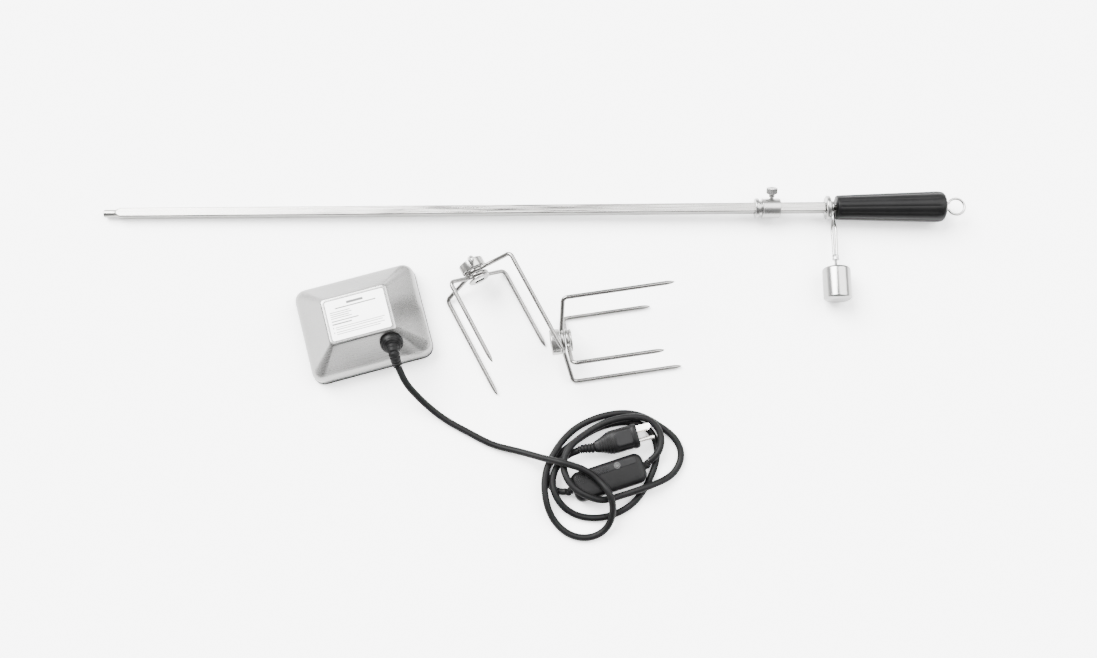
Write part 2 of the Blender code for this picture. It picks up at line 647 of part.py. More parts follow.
def make_bushing(root):
    """Grooved round bushing that slides on the square rod, with its thumb screw."""
    start, end = (station / MM for station in BUSHING_ENDS)
    radius = BUSHING_RADIUS / MM
    profile = [
        (0.0, end), (radius - 0.8, end), (radius - 0.2, end - 0.6), (radius - 0.2, start + 9.6),
        (radius + 0.1, start + 9.2), (radius + 0.1, start + 8.0), (radius - 2.2, start + 7.4),
        (radius - 2.2, start + 4.6), (radius + 0.2, start + 4.0), (radius + 0.2, start + 0.6),
        (radius - 0.4, start), (0.0, start),
    ]
    part = turned("rod_bushing", [(r * MM, z * MM) for r, z in profile], "polished_steel",
                  root, rotation=(0.0, math.pi / 2, 0.0), steps=28)
    half = ROD_SIDE / 2 + GAP
    boolean(part, box_mesh((BUSHING_ENDS[0] - 5 * MM, -half, -half),
                           (BUSHING_ENDS[1] + 5 * MM, half, half)))
    middle = (BUSHING_ENDS[0] + 9 * MM + BUSHING_ENDS[1]) / 2
    turn = -(math.pi / 2 - SCREW_TILT)
    axis = make_empty("bushing_screw_axis", (middle, 0.0, 0.0), (turn, 0.0, 0.0), root)
    tapped = cylinder_mesh(2.6 * MM, 0.0, 18 * MM, sides=16)
    tapped.transform(Matrix.Translation((middle, 0, 0)) @ Matrix.Rotation(turn, 4, "X"))
    boolean(part, tapped)
    screw = [(0.0, 23.2), (5.2, 23.2), (6.1, 22.4), (6.1, 17.0), (5.2, 16.2), (3.2, 15.6),
             (3.2, 12.6), (2.3, 12.2), (2.3, 7.7), (0.0, 7.7)]
    turned("bushing_screw", [(r * MM, z * MM) for r, z in screw], "polished_steel", axis,
           steps=20)


def make_handle(root):
    """Tapered fluted grip with a rounded end, and the wire loop it hangs by."""
    start, end = HANDLE_ENDS

    def fluted(radius, flute):
        steps = 5 * FLUTES
        outline = []
        for i in range(steps):
            angle = 2 * math.pi * i / steps
            edge = radius - flute * (1 - abs(math.cos(FLUTES * angle / 2)))
            outline.append((edge * math.cos(angle), edge * math.sin(angle)))
        return outline

    def grip(shape):
        small, large = HANDLE_RADII
        flute = 0.9 * MM
        loft(shape, [
            (fluted(small - 1.2 * MM, 0.2 * MM), start),
            (fluted(small, flute), start + 1.5 * MM),
            (fluted(large, flute), end - 9 * MM),
            (fluted(large - 1.2 * MM, 0.6 * flute), end - 4 * MM),
            (fluted(large - 4.0 * MM, 0.2 * flute), end - 1.2 * MM),
            (fluted(large - 7.5 * MM, 0.0), end),
        ])

    mesh = mesh_from(grip)
    mesh.transform(Matrix.Rotation(math.pi / 2, 4, "Y"))
    part = add_part("handle_grip", mesh, "black_plastic", root)
    boolean(part, cylinder_mesh(STUD_RADIUS + GAP, start - 5 * MM, STUD_END + MM, axis="X",
                                sides=20))
    centre = Vector((end + LOOP_RADIUS + 3.2 * MM, 0.0, 0.0))
    opening = math.radians(28.0)
    points = [Vector((end + 0.8 * MM, -3.0 * MM, 0.0))]
    for step in range(19):
        angle = math.pi + opening + (2 * math.pi - 2 * opening) * step / 18
        points.append(centre + Vector((math.cos(angle), math.sin(angle), 0.0)) * LOOP_RADIUS)
    points.append(Vector((end + 0.8 * MM, 3.0 * MM, 0.0)))
    wire("hanging_loop", points, LOOP_WIRE, "polished_steel", root)


def make_counterweight(root):
    """Wire hairpin round the stud, crimped to a threaded stem that carries the weight."""
    axis = make_empty("counterweight_axis", (ARM_X, 0.0, 0.0), parent=root)
    eye = STUD_RADIUS + ARM_WIRE / 2 + 0.5 * MM
    points = [Vector((1.7 * MM, -CRIMP_REACH + 4.2 * MM, 0.0)),
              Vector((2.2 * MM, -24 * MM, 0.0)),
              Vector((1.2 * MM, -12 * MM, -3.8 * MM))]
    for step in range(13):
        angle = math.radians(-140.0 + 280.0 * step / 12)
        points.append(Vector((0.9 * MM * (1 - step / 6), math.cos(angle) * eye,
                              math.sin(angle) * eye)))
    points += [Vector((-1.2 * MM, -12 * MM, 3.8 * MM)), Vector((-2.2 * MM, -24 * MM, 0.0)),
               Vector((-1.7 * MM, -CRIMP_REACH + 4.2 * MM, 0.0))]
    wire("counterweight_arm", points, ARM_WIRE, "polished_steel", axis)

    crimp = add_part("arm_crimp", cylinder_mesh(3.9 * MM, CRIMP_REACH - 3.6 * MM,
                                                CRIMP_REACH + 2 * MM, axis="Y", sides=12),
                     "zinc_steel", axis)
    crimp.rotation_euler = (0.0, 0.0, math.pi)
    stem_axis = make_empty("stem_axis", (0.0, 0.0, 0.0), (math.pi / 2, 0.0, 0.0), axis)
    near, far = (reach / MM for reach in WEIGHT_REACHES)
    stem = [(0.0, STEM_REACH / MM + 14.0), (1.5, STEM_REACH / MM + 14.0),
            (1.5, CRIMP_REACH / MM + 2.4), (0.0, CRIMP_REACH / MM + 2.4)]
    turned("counterweight_stem", [(r * MM, z * MM) for r, z in stem], "zinc_steel", stem_axis,
           steps=12)
    size = WEIGHT_RADIUS / MM
    weight = [(0.0, far), (size - 2.4, far), (size - 0.7, far - 0.7), (size, far - 2.4),
              (size, near + 2.8), (size - 0.8, near + 0.8), (size - 2.8, near), (0.0, near)]
    block = turned("counterweight", [(r * MM, z * MM) for r, z in weight], "polished_steel",
                   stem_axis, steps=36)
    boolean(block, cylinder_mesh(1.8 * MM, WEIGHT_REACHES[0] - 5 * MM, STEM_REACH + 15 * MM,
                                 sides=12))


# --- lead, switch and plug --------------------------------------------------
def make_lead():
    for name, points in (("cord_to_switch", LEAD_TO_SWITCH), ("cord_to_plug", LEAD_TO_PLUG)):
        wire(name, lead_route(points), CORD, "black_rubber")


def make_switch():
    root = make_empty("switch", SWITCH_AT, (0.0, 0.0, SWITCH_HEADING))
    length, width, height = 80 * MM, 32 * MM, 19 * MM
    seam = 9.0 * MM
    button_at = Vector((12.0, 8.6, 0.0)) * MM

    def outline(inset, radius):
        return rounded_rectangle((length - 2 * inset, width - 2 * inset), radius)

    def lower(shape):
        loft(shape, [(outline(2.5 * MM, 7 * MM), 0.3 * MM), (outline(0.6 * MM, 8.4 * MM), 2.4 * MM),
                     (outline(0.0, 9 * MM), 4.5 * MM), (outline(0.0, 9 * MM), seam - GAP / 2)])

    def upper(shape):
        loft(shape, [(outline(0.0, 9 * MM), seam + GAP / 2), (outline(0.0, 9 * MM), height - 5 * MM),
                     (outline(1.0 * MM, 8 * MM), height - 2.4 * MM),
                     (outline(3.4 * MM, 6.4 * MM), height - 0.4 * MM),
                     (outline(5.2 * MM, 5.4 * MM), height)])

    tray = add_part("switch_case_lower", mesh_from(lower), "black_plastic", root)
    lid = add_part("switch_case_upper", mesh_from(upper), "black_plastic", root)
    inside = outline(2.2 * MM, 6.5 * MM)
    boolean(tray, slab_mesh(inside, 2.8 * MM, 12 * MM))
    boolean(lid, slab_mesh(outline(5.4 * MM, 5 * MM), 6 * MM, height - 2.4 * MM))
    boolean(lid, cylinder_mesh(2.9 * MM, 10 * MM, 25 * MM, centre=button_at, sides=16))
    block = box_mesh((4 * MM, 0.0, 3.1 * MM), (20 * MM, 10 * MM, 11.6 * MM))
    add_part("switch_contact_block", block, "white_nylon", root)
    button = [(0.0, 20.6), (2.0, 20.6), (2.5, 20.0), (2.5, 13.6), (0.0, 13.6)]
    turned("switch_button", [(r * MM, z * MM) for r, z in button], "white_nylon", root,
           button_at, steps=16)

    for side, points, sign in (("right", LEAD_TO_SWITCH, 1), ("left", LEAD_TO_PLUG, -1)):
        start = Vector((sign * (length / 2 + GAP), 0.0, 9.6 * MM))
        end, facing = lead_end(points, sign > 0, root)
        route = [start, start + Vector((sign * 1.8 * MM, 0.0, 0.0)), end - facing * 1.8 * MM, end]
        wire(f"switch_{side}_relief", route, 9.4 * MM, "black_rubber", root,
             [1.0, 0.97, 0.86, 0.8])


def make_plug():
    root = make_empty("plug", PLUG_AT, (0.0, 0.0, PLUG_HEADING))
    length = 46 * MM

    def section(width, height):
        return [(width / 2 * math.copysign(abs(math.cos(t)) ** 0.6, math.cos(t)),
                 height / 2 * math.copysign(abs(math.sin(t)) ** 0.6, math.sin(t)))
                for t in (2 * math.pi * i / 24 for i in range(24))]

    def body(shape):
        loft(shape, [(section(12 * MM, 12 * MM), 0.0), (section(15 * MM, 14 * MM), 4 * MM),
                     (section(23 * MM, 20 * MM), 13 * MM), (section(25 * MM, 24 * MM), 20 * MM),
                     (section(25 * MM, 25 * MM), 33 * MM), (section(26 * MM, 25 * MM), 42 * MM),
                     (section(26 * MM, 25 * MM), length)])

    mesh = mesh_from(body)
    turn = Matrix(((0, 0, 1, 0), (1, 0, 0, 0), (0, 1, 0, 0), (0, 0, 0, 1)))
    mesh.transform(turn)
    add_part("plug_body", mesh, "black_plastic", root)

    for name, height in (("lower", -6.35 * MM), ("upper", 6.35 * MM)):
        blade = box_mesh((length + GAP, 2.9 * MM, height - 0.75 * MM),
                         (length + 15.4 * MM, 9.1 * MM, height + 0.75 * MM))
        add_part(f"plug_{name}_blade", blade, "nickel_blade", root)
    pin = [(0.0, 17.8), (1.2, 17.6), (2.1, 16.4), (2.35, 15.0), (2.35, 0.3), (0.0, 0.3)]
    turned("plug_ground_pin", [(r * MM, z * MM) for r, z in pin], "nickel_blade", root,
           (length, -6.0 * MM, 0.0), (0.0, math.pi / 2, 0.0), steps=16)

    end, facing = lead_end(LEAD_TO_PLUG, True, root)
    start = Vector((-GAP, 0.0, 0.0))
    route = smooth_route([start, start - Vector((2 * MM, 0.0, 0.0)), end - facing * 1.5 * MM,
                          end], 1.5 * MM)
    taper = np.linspace(1.0, 0.76, len(route))
    radii = [size * (1.0 if i % 3 else 0.82) for i, size in enumerate(taper)]
    wire("plug_strain_relief", route, 11.6 * MM, "black_rubber", root, radii)


def main():
    motor = make_empty("motor", MOTOR_AT, (0.0, 0.0, MOTOR_HEADING))
    gland, turn = make_housing(motor)
    make_gland(motor, gland, turn)
    make_gear_motor(motor)
    make_spit()
    for side in FORKS:
        make_fork(side)
    make_switch()
    make_plug()
    make_lead()


main()
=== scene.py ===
"""Looks of the rotisserie kit: camera, cords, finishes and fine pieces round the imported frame."""
import json
import math

import bmesh
import bpy
import numpy as np
from mathutils import Matrix, Vector


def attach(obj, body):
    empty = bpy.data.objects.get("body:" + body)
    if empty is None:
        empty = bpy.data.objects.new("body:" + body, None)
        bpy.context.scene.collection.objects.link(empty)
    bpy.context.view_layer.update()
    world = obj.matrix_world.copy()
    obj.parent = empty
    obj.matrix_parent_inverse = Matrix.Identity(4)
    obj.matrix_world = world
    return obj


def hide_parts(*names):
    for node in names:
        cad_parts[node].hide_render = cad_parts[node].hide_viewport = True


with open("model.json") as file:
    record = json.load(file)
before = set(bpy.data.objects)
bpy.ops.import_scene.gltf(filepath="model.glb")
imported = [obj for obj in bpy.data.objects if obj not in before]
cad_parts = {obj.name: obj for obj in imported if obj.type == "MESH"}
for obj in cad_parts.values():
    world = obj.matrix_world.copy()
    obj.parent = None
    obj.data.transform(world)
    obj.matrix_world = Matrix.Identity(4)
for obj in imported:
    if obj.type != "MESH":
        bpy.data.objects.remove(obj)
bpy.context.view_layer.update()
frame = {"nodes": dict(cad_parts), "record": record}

MM = 0.001
NODES = frame["nodes"]

# Camera
CAMERA_AT = Vector((0.01345, -0.3345, 1.2894))
LOOK_AT = Vector((0.01625, -0.0411, 0.0))
LENS = 39.45
SENSOR = 36.0
ROLL = 0.0052
NEAR_CLIP = 0.01

# Light and floor
SKY_STRENGTH = 2.3
SKY_BY_HEIGHT = (1.0, 0.34, 0.05, 0.5)      # grey low down, grey overhead, from Z, to Z
SKY_BY_SIDE = (0.40, 1.0, 0.04, 0.45)       # grey by the viewer, grey beyond, from and to 1 + Y
SUNS = {                            # where it stands, width of its disc in degrees, strength
    "key": ((-0.55, 0.50, 0.80), 45.0, 19.0),
    "fill": ((0.60, 0.25, 0.90), 60.0, 9.0),
}
FLOOR_GREY = 0.92
FLOOR_GLOW = 0.7
FLOOR_REACH = 40.0

# Finishes: noise scales per metre, and the stretch of noise that varies tone and roughness
METAL_GRAIN = 900.0
METAL_MARKS = 22.0
PLASTIC_GRAIN = 1400.0
PLASTIC_DRIFT = 45.0
NOISE_SPAN = (0.3, 0.7)
BLACK = (0.0022, 0.0022, 0.0023)

# Places of the pieces, as the CAD has them
MOTOR_AT = Vector((-185.3, -36.7, 0.0)) * MM
MOTOR_HEADING = math.radians(15.1)
SWITCH_AT = Vector((79.3, -205.5, 0.0)) * MM
SWITCH_HEADING = math.radians(18.0)
PLUG_AT = Vector((65.8, -173.5, 15.2)) * MM
PLUG_HEADING = math.radians(15.6)
SPIT_TIP = Vector((-479.95, 92.04, 5.5)) * MM
SPIT_TILT = math.radians(0.80)
FORKS = {
    "left": (Vector((-60.2, 10.6, 0.0)) * MM, math.radians(-62.3)),
    "right": (Vector((36.3, -61.0, 0.0)) * MM, math.radians(8.2)),
}

# Motor, in millimetres and in its own axes, as are all the sizes below
COVER_SIZE = (132.8, 104.8)
COVER_TOP = (70.5, 50.3)
COVER_HEIGHT = 53.0
COVER_FOOT = 4.3
COVER_SHEET = 1.2
COVER_CORNERS = (12.0, 4.0)         # radius at the foot and at the top
COVER_DISH = 0.7
RIM_TOP = 19.5                      # where the upright rim and the slopes would meet, unrounded
GLAND_SLOPE = (22.0, 2.0)           # foot of the slope that the gland sits on: height, inset
GLAND_AT = (26.3, -35.5)
GLAND_HOLE = 8.0
GLAND_RISE = 9.4
LABEL_SIZE = (64.0, 43.6)
LABEL_CORNER = 2.2
# Width of the dark rim that shows round the label: a painted shadow of the label's edge
LABEL_SHADOW_RIM = 0.7
BAR_WEIGHT = 0.8                    # half the height of a bar of weight 1
LABEL_BARS = (                      # start, end, middle, weight
    (-9.0, 9.0, 16.4, 1.7), (-22.0, 22.0, 12.4, 0.8), (-28.5, -7.0, 8.6, 0.5),
    (-28.5, -5.5, 6.4, 0.5), (-28.5, -8.5, 4.2, 0.5), (-28.5, -6.0, 2.0, 0.5),
    (-28.5, 0.5, -1.2, 0.7), (-28.5, -7.5, -4.4, 0.9), (-26.0, 27.0, -8.2, 0.45),
    (-26.0, 24.5, -10.4, 0.45), (-26.0, 26.0, -13.4, 0.45), (-26.0, 21.0, -15.6, 0.45),
    (-28.6, -27.6, -8.2, 0.9), (-28.6, -27.6, -13.4, 0.9),
)

# Switch and plug
SWITCH_SIZE = (80.0, 32.0)
SWITCH_CORNER = 9.0
SWITCH_CORD_HEIGHT = 9.6
BUTTON_AT = (12.0, 8.6)
BUTTON_HOLE = 2.9
RIB = 1.1
RIB_CHAMFER = 0.2
PLUG_SECTIONS = [                   # station, width, height
    (0.0, 12.0, 12.0), (1.5, 13.2, 12.6), (4.0, 14.6, 13.6), (8.5, 18.0, 16.4),
    (13.0, 22.0, 19.4), (17.0, 24.2, 22.4), (21.0, 24.9, 24.0), (27.0, 25.0, 24.6),
    (33.0, 24.8, 24.6), (38.5, 24.6, 24.4), (40.0, 24.6, 24.4), (40.8, 25.9, 24.9),
    (45.0, 26.0, 25.0), (46.0, 25.0, 24.0),
]
PLUG_ROUNDNESS = 0.62               # 1 is an ellipse, less is nearer to a rectangle
PLUG_SIDES = 56
BLADE_EDGES = (2.9, 9.1)
BLADE_HEIGHTS = {"lower": -6.35, "upper": 6.35}
# station, what is trimmed off each edge, thickness
BLADE_PROFILE = ((46.3, 0.0, 1.5), (59.0, 0.0, 1.5), (60.6, 0.5, 1.3), (61.7, 1.3, 0.7))

# Spit: stations run from its thin tip
ROD_SIDE = 10.4
ROD_CORNER = 0.5
ROD_BORE = 11.0
STUB_RADIUS = 4.3
CONE_RADIUS = 8.2
CONE_START = 12.5
CONE_LENGTH = 9.5
CONE_STEP = 0.5
ROD_END = 804.0
STUD_END = 871.0
FLANGE_ENDS = (804.6, 809.2)
PITCH = 0.7
ROOT_AFTER_CREST = 0.35
BUSHING_SCREW_AT = 744.5
BUSHING_SCREW_TURN = math.radians(-60.0)
HANDLE_ENDS = (816.0, 937.0)
HANDLE_RADII = (13.6, 17.3)
FLUTES = 12
FLUTE_DEPTH = 0.45
LOOP_RADIUS = 9.2
LOOP_OPENING = math.radians(28.0)
LOOP_WIRE = 2.9
COUNTERWEIGHT_AT = 812.6
HAIRPIN_EYE = 6.0
HAIRPIN_WIRE = 3.0

# Forks
HUB_HEIGHT = 31.8
HUB_LENGTH = 10.5
HUB_FRONT = -7.6
PLATE_BACK = 2.6
PRONG_WIRE = 4.6
PRONG_BEND = 5.5
PRONGS = {                          # reach from the axis, angle, length, bow side
    "long": (49.6, math.radians(36.2), 120.4, 1.0),
    "short": (42.7, math.radians(136.7), 97.5, -1.0),
}
PRONG_LAYERS = {"long": -5.0, "short": 0.0}
# distance back from the tip, and the share of the full radius there
PRONG_TIP = ((0.0, 0.12), (1.0, 0.36), (3.0, 0.66), (6.0, 0.88), (9.0, 0.99), (10.0, 1.0))
BOW_RADIUS = 10.5
BOW_START = 13.6
SCREW_BACKED_OUT = {"left": 6.5, "right": 0.0}

# Lead
CORD = 7.4 * MM
CORD_FLOOR = 3.78 * MM
CORD_STEP = 4.0 * MM
LEAD_OVERLAP = 0.6                  # how far the lead runs into a piece that meets it
LEAD_TO_SWITCH = [
    (-143.2, -90.3, 38), (-136.2, -105, 32), (-125.5, -117.5, 21), (-112, -129.5, 10),
    (-94, -142.5, 4.2), (-68, -157, 4), (-44, -169, 4.5), (-20, -176, 9), (-1, -182, 16),
    (14, -187, 23.5), (28, -191, 29.4), (42, -195, 29.2), (56, -200.5, 25.5),
    (69, -210.5, 24.2), (78, -222, 26.4), (82, -232.5, 23), (82.6, -243, 16),
    (79.6, -253.2, 10), (72.6, -261.6, 6), (62, -266.8, 4.1), (50, -267.8, 4),
    (37, -264, 4), (24, -253.5, 5.5), (15.5, -239, 10.5), (11.8, -223, 12.8),
    (11.5, -208, 13), (16, -190.5, 13), (25.5, -173, 10), (41, -155, 4.5), (59, -144, 4),
    (79, -137.5, 4), (99, -135.5, 4), (119, -140, 4), (136, -150, 4), (148, -159.5, 4),
    (155, -169.5, 4), (157.5, -180.5, 4), (154.8, -191.5, 4.2), (148, -201, 5),
    (137, -208.5, 8), (123, -214.5, 12), (105, -220.8, 12.8), (88, -226, 12.6),
    (72, -229.6, 18.2), (56, -226, 24), (42, -217, 23.8), (33.5, -204, 22.8),
    (31.5, -191, 20.8), (35.5, -178.5, 20.3), (44.5, -167.5, 16.5), (59, -156.5, 12.8),
    (78, -146.5, 12.5), (95, -142, 12.4), (110, -141, 12.4), (121.5, -143.4, 12.4),
    (130, -150, 12.4), (135.1, -159.6, 12.6), (135.5, -170.4, 12.9),
    (131.4, -180.4, 12.6), (123.4, -187.7, 10),
]
LEAD_TO_PLUG = [
    (34.2, -219.8, 8.2), (27.2, -219.5, 5.4), (20.6, -216.3, 4), (15.7, -210.5, 4),
    (13.4, -202.8, 4), (14.6, -194.6, 4), (19.3, -186.8, 4), (28.3, -178.5, 4),
    (38.5, -170.5, 4), (52, -161, 4), (69.5, -151.5, 4), (90, -146, 4), (108, -146, 4),
    (121, -151.5, 4), (129, -162, 4), (132, -175, 4), (130.5, -188, 4), (125.5, -202, 4),
    (117.5, -217, 4), (105, -232, 4), (87.7, -242.5, 4), (67, -247.3, 4),
    (47.5, -245, 4), (33.5, -237.8, 8), (24.3, -227, 13), (20, -213.5, 13.3),
    (21.8, -199.5, 13), (29.5, -187.5, 12), (38.5, -180.5, 11.8), (48, -177, 14),
]


# --- camera, floor and light ------------------------------------------------
def add_object(name, data):
    made = bpy.data.objects.new(name, data)
    bpy.context.scene.collection.objects.link(made)
    return made


def make_camera():
    data = bpy.data.cameras.new("camera")
    data.lens = LENS
    data.sensor_width = SENSOR
    data.clip_start = NEAR_CLIP
    camera = add_object("camera", data)
    camera.location = CAMERA_AT
    aim = (LOOK_AT - CAMERA_AT).to_track_quat("-Z", "Y").to_matrix().to_4x4()
    camera.rotation_euler = (aim @ Matrix.Rotation(ROLL, 4, "Z")).to_euler()
    bpy.context.scene.camera = camera


def soft_sun(name, direction, spread, strength):
    """Light from far away, soft because its disc is wide."""
    data = bpy.data.lights.new(name, "SUN")
    data.angle = math.radians(spread)
    data.energy = strength
    lamp = add_object(name, data)
    lamp.rotation_euler = Vector(direction).to_track_quat("Z", "Y").to_euler()


def make_stage():
    mesh = bpy.data.meshes.new("floor")
    shape = bmesh.new()
    bmesh.ops.create_grid(shape, x_segments=1, y_segments=1, size=FLOOR_REACH)
    shape.to_mesh(mesh)
    shape.free()
    floor = add_object("floor", mesh)
    material, shader, _, _ = new_material("floor", (FLOOR_GREY,) * 3, roughness=0.8)
    shader.inputs["Specular IOR Level"].default_value = 0.1
    shader.inputs["Emission Color"].default_value = grey(1.0)
    shader.inputs["Emission Strength"].default_value = FLOOR_GLOW
    mesh.materials.append(material)
    make_world()
    for name, (direction, spread, strength) in SUNS.items():
        soft_sun(name, direction, spread, strength)


def make_world():
    """Studio sky: bright walls, a darker ceiling, and dimmer on the viewer's side."""
    world = bpy.data.worlds.new("studio")
    bpy.context.scene.world = world
    world.use_nodes = True
    nodes, links = world.node_tree.nodes, world.node_tree.links
    place = nodes.new("ShaderNodeTexCoord")
    split = nodes.new("ShaderNodeSeparateXYZ")
    links.new(place.outputs["Generated"], split.inputs["Vector"])
    low, overhead, start, end = SKY_BY_HEIGHT
    height = ramp_of(nodes, links, split.outputs["Z"], grey(low), grey(overhead), start, end)
    turn = nodes.new("ShaderNodeMath")
    turn.operation = "ADD"
    turn.inputs[1].default_value = 1.0
    links.new(split.outputs["Y"], turn.inputs[0])
    near, beyond, start, end = SKY_BY_SIDE
    side = ramp_of(nodes, links, turn.outputs["Value"], grey(near), grey(beyond), start, end)
    colour = multiply(nodes, links, height, side)
    links.new(colour, nodes["Background"].inputs["Color"])
    nodes["Background"].inputs["Strength"].default_value = SKY_STRENGTH


# --- materials --------------------------------------------------------------
def new_material(name, colour, metallic=0.0, roughness=0.5):
    material = bpy.data.materials.new(name)
    material.use_nodes = True
    nodes, links = material.node_tree.nodes, material.node_tree.links
    shader = nodes["Principled BSDF"]
    shader.inputs["Base Color"].default_value = (*colour, 1.0)
    shader.inputs["Metallic"].default_value = metallic
    shader.inputs["Roughness"].default_value = roughness
    return material, shader, nodes, links


def noise_of(nodes, links, scale, detail=4.0, stretch=(1.0, 1.0, 1.0), turn=(0.0, 0.0, 0.0)):
    """Noise in metres, on a mapping that can be stretched along one way of the piece."""
    place = nodes.new("ShaderNodeTexCoord")
    mapping = nodes.new("ShaderNodeMapping")
    mapping.vector_type = "TEXTURE"
    mapping.inputs["Rotation"].default_value = turn
    mapping.inputs["Scale"].default_value = stretch
    noise = nodes.new("ShaderNodeTexNoise")
    noise.inputs["Scale"].default_value = scale
    noise.inputs["Detail"].default_value = detail
    links.new(place.outputs["Object"], mapping.inputs["Vector"])
    links.new(mapping.outputs["Vector"], noise.inputs["Vector"])
    return noise.outputs["Fac"]


def ramp_of(nodes, links, source, low, high, start=NOISE_SPAN[0], end=NOISE_SPAN[1]):
    ramp = nodes.new("ShaderNodeValToRGB")
    ramp.color_ramp.elements[0].position = start
    ramp.color_ramp.elements[1].position = end
    ramp.color_ramp.elements[0].color = low
    ramp.color_ramp.elements[1].color = high
    links.new(source, ramp.inputs["Fac"])
    return ramp.outputs["Color"]


def grey(value):
    return (value, value, value, 1.0)


def multiply(nodes, links, one, two, factor=1.0):
    mixed = nodes.new("ShaderNodeMix")
    mixed.data_type = "RGBA"
    mixed.blend_type = "MULTIPLY"
    mixed.inputs["Factor"].default_value = factor
    links.new(one, mixed.inputs["A"])
    links.new(two, mixed.inputs["B"])
    return mixed.outputs["Result"]


def vary_tone(nodes, links, source, colour, drift):
    """The colour, darker and lighter by that share as the noise varies."""
    darker = tuple(c * (1 - drift) for c in colour) + (1.0,)
    lighter = tuple(min(1.0, c * (1 + drift)) for c in colour) + (1.0,)
    return ramp_of(nodes, links, source, darker, lighter)


def vary_roughness(nodes, links, shader, source, low, high):
    rough = nodes.new("ShaderNodeMapRange")
    rough.inputs["From Min"].default_value = NOISE_SPAN[0]
    rough.inputs["From Max"].default_value = NOISE_SPAN[1]
    rough.inputs["To Min"].default_value = low
    rough.inputs["To Max"].default_value = high
    links.new(source, rough.inputs["Value"])
    links.new(rough.outputs["Result"], shader.inputs["Roughness"])


def add_bump(nodes, links, shader, source, height, strength):
    bump = nodes.new("ShaderNodeBump")
    bump.inputs["Strength"].default_value = strength
    bump.inputs["Distance"].default_value = height
    links.new(source, bump.inputs["Height"])
    links.new(bump.outputs["Normal"], shader.inputs["Normal"])


def metal(name, colour, roughness, grain=None, turn=(0.0, 0.0, 0.0), spread=0.06, dull=0.12,
          grain_height=0.02 * MM):
    """Steel whose roughness and tone vary: fine grain along one way, and broad handling marks."""
    material, shader, nodes, links = new_material(name, colour, 1.0, roughness)
    fine = noise_of(nodes, links, METAL_GRAIN, 5.0, grain or (1.0, 1.0, 1.0), turn)
    broad = noise_of(nodes, links, METAL_MARKS)
    tone = vary_tone(nodes, links, fine, colour, dull)
    marks = ramp_of(nodes, links, broad, grey(0.82), grey(1.0))
    links.new(multiply(nodes, links, tone, marks, 0.5), shader.inputs["Base Color"])
    vary_roughness(nodes, links, shader, fine if grain else broad,
                   max(0.03, roughness - spread), roughness + spread)
    add_bump(nodes, links, shader, fine, grain_height, 0.35)
    return material


def moulded(name, colour, roughness, grain_height=0.06 * MM, scale=PLASTIC_GRAIN, drift=0.28):
    """Moulded plastic or rubber: spark-eroded grain in the surface, and tone that drifts."""
    material, shader, nodes, links = new_material(name, colour, roughness=roughness)
    fine = noise_of(nodes, links, scale, 3.0)
    broad = noise_of(nodes, links, PLASTIC_DRIFT)
    links.new(vary_tone(nodes, links, broad, colour, drift), shader.inputs["Base Color"])
    vary_roughness(nodes, links, shader, fine, roughness - 0.07, roughness + 0.09)
    add_bump(nodes, links, shader, fine, grain_height, 0.5)
    shader.inputs["Specular IOR Level"].default_value = 0.10
    return material


def make_materials():
    """One finish for each material slot, and those that only the fine pieces use."""
    return {
        "brushed_cover": metal("brushed_cover", (0.235, 0.233, 0.229), 0.28, (40.0, 1.0, 1.0),
                               (0.0, 0.0, MOTOR_HEADING), spread=0.03, dull=0.04,
                               grain_height=0.006 * MM),
        "zinc_steel": metal("zinc_steel", (0.42, 0.42, 0.42), 0.36),
        "polished_steel": metal("polished_steel", (0.29, 0.288, 0.283), 0.25,
                                spread=0.05, dull=0.05, grain_height=0.006 * MM),
        "drawn_bar": metal("drawn_bar", (0.25, 0.246, 0.238), 0.27, (60.0, 1.0, 1.0),
                           spread=0.12, dull=0.42),
        "fork_steel": metal("fork_steel", (0.30, 0.296, 0.288), 0.24, spread=0.07),
        "prong_wire": metal("prong_wire", (0.17, 0.167, 0.162), 0.25, spread=0.07),
        "nickel_plate": metal("nickel_plate", (0.80, 0.78, 0.74), 0.18, spread=0.05, dull=0.05),
        "brass": metal("brass", (0.62, 0.45, 0.20), 0.30),
        "copper_winding": metal("copper_winding", (0.45, 0.17, 0.07), 0.32),
        "black_rubber": moulded("black_rubber", BLACK, 0.55),
        "black_cord": moulded("black_cord", BLACK, 0.52, 0.05 * MM, 900.0),
        "black_plastic": moulded("black_plastic", BLACK, 0.42),
        "grip_plastic": moulded("grip_plastic", BLACK, 0.40, 0.03 * MM),
        "white_nylon": moulded("white_nylon", (0.72, 0.70, 0.64), 0.45, 0.02 * MM),
        "button_plastic": moulded("button_plastic", (0.045, 0.045, 0.045), 0.40, 0.02 * MM),
        "strip_plastic": moulded("strip_plastic", (0.006, 0.006, 0.0063), 0.42),
        "label": moulded("label", (0.93, 0.93, 0.92), 0.42, 0.008 * MM, 500.0, drift=0.03),
        # Dark print on the label, also used for the painted shadow rim round the label
        "print_and_painted_shadow": moulded("print_and_painted_shadow", (0.10, 0.10, 0.10), 0.5, 0.004 * MM),
    }


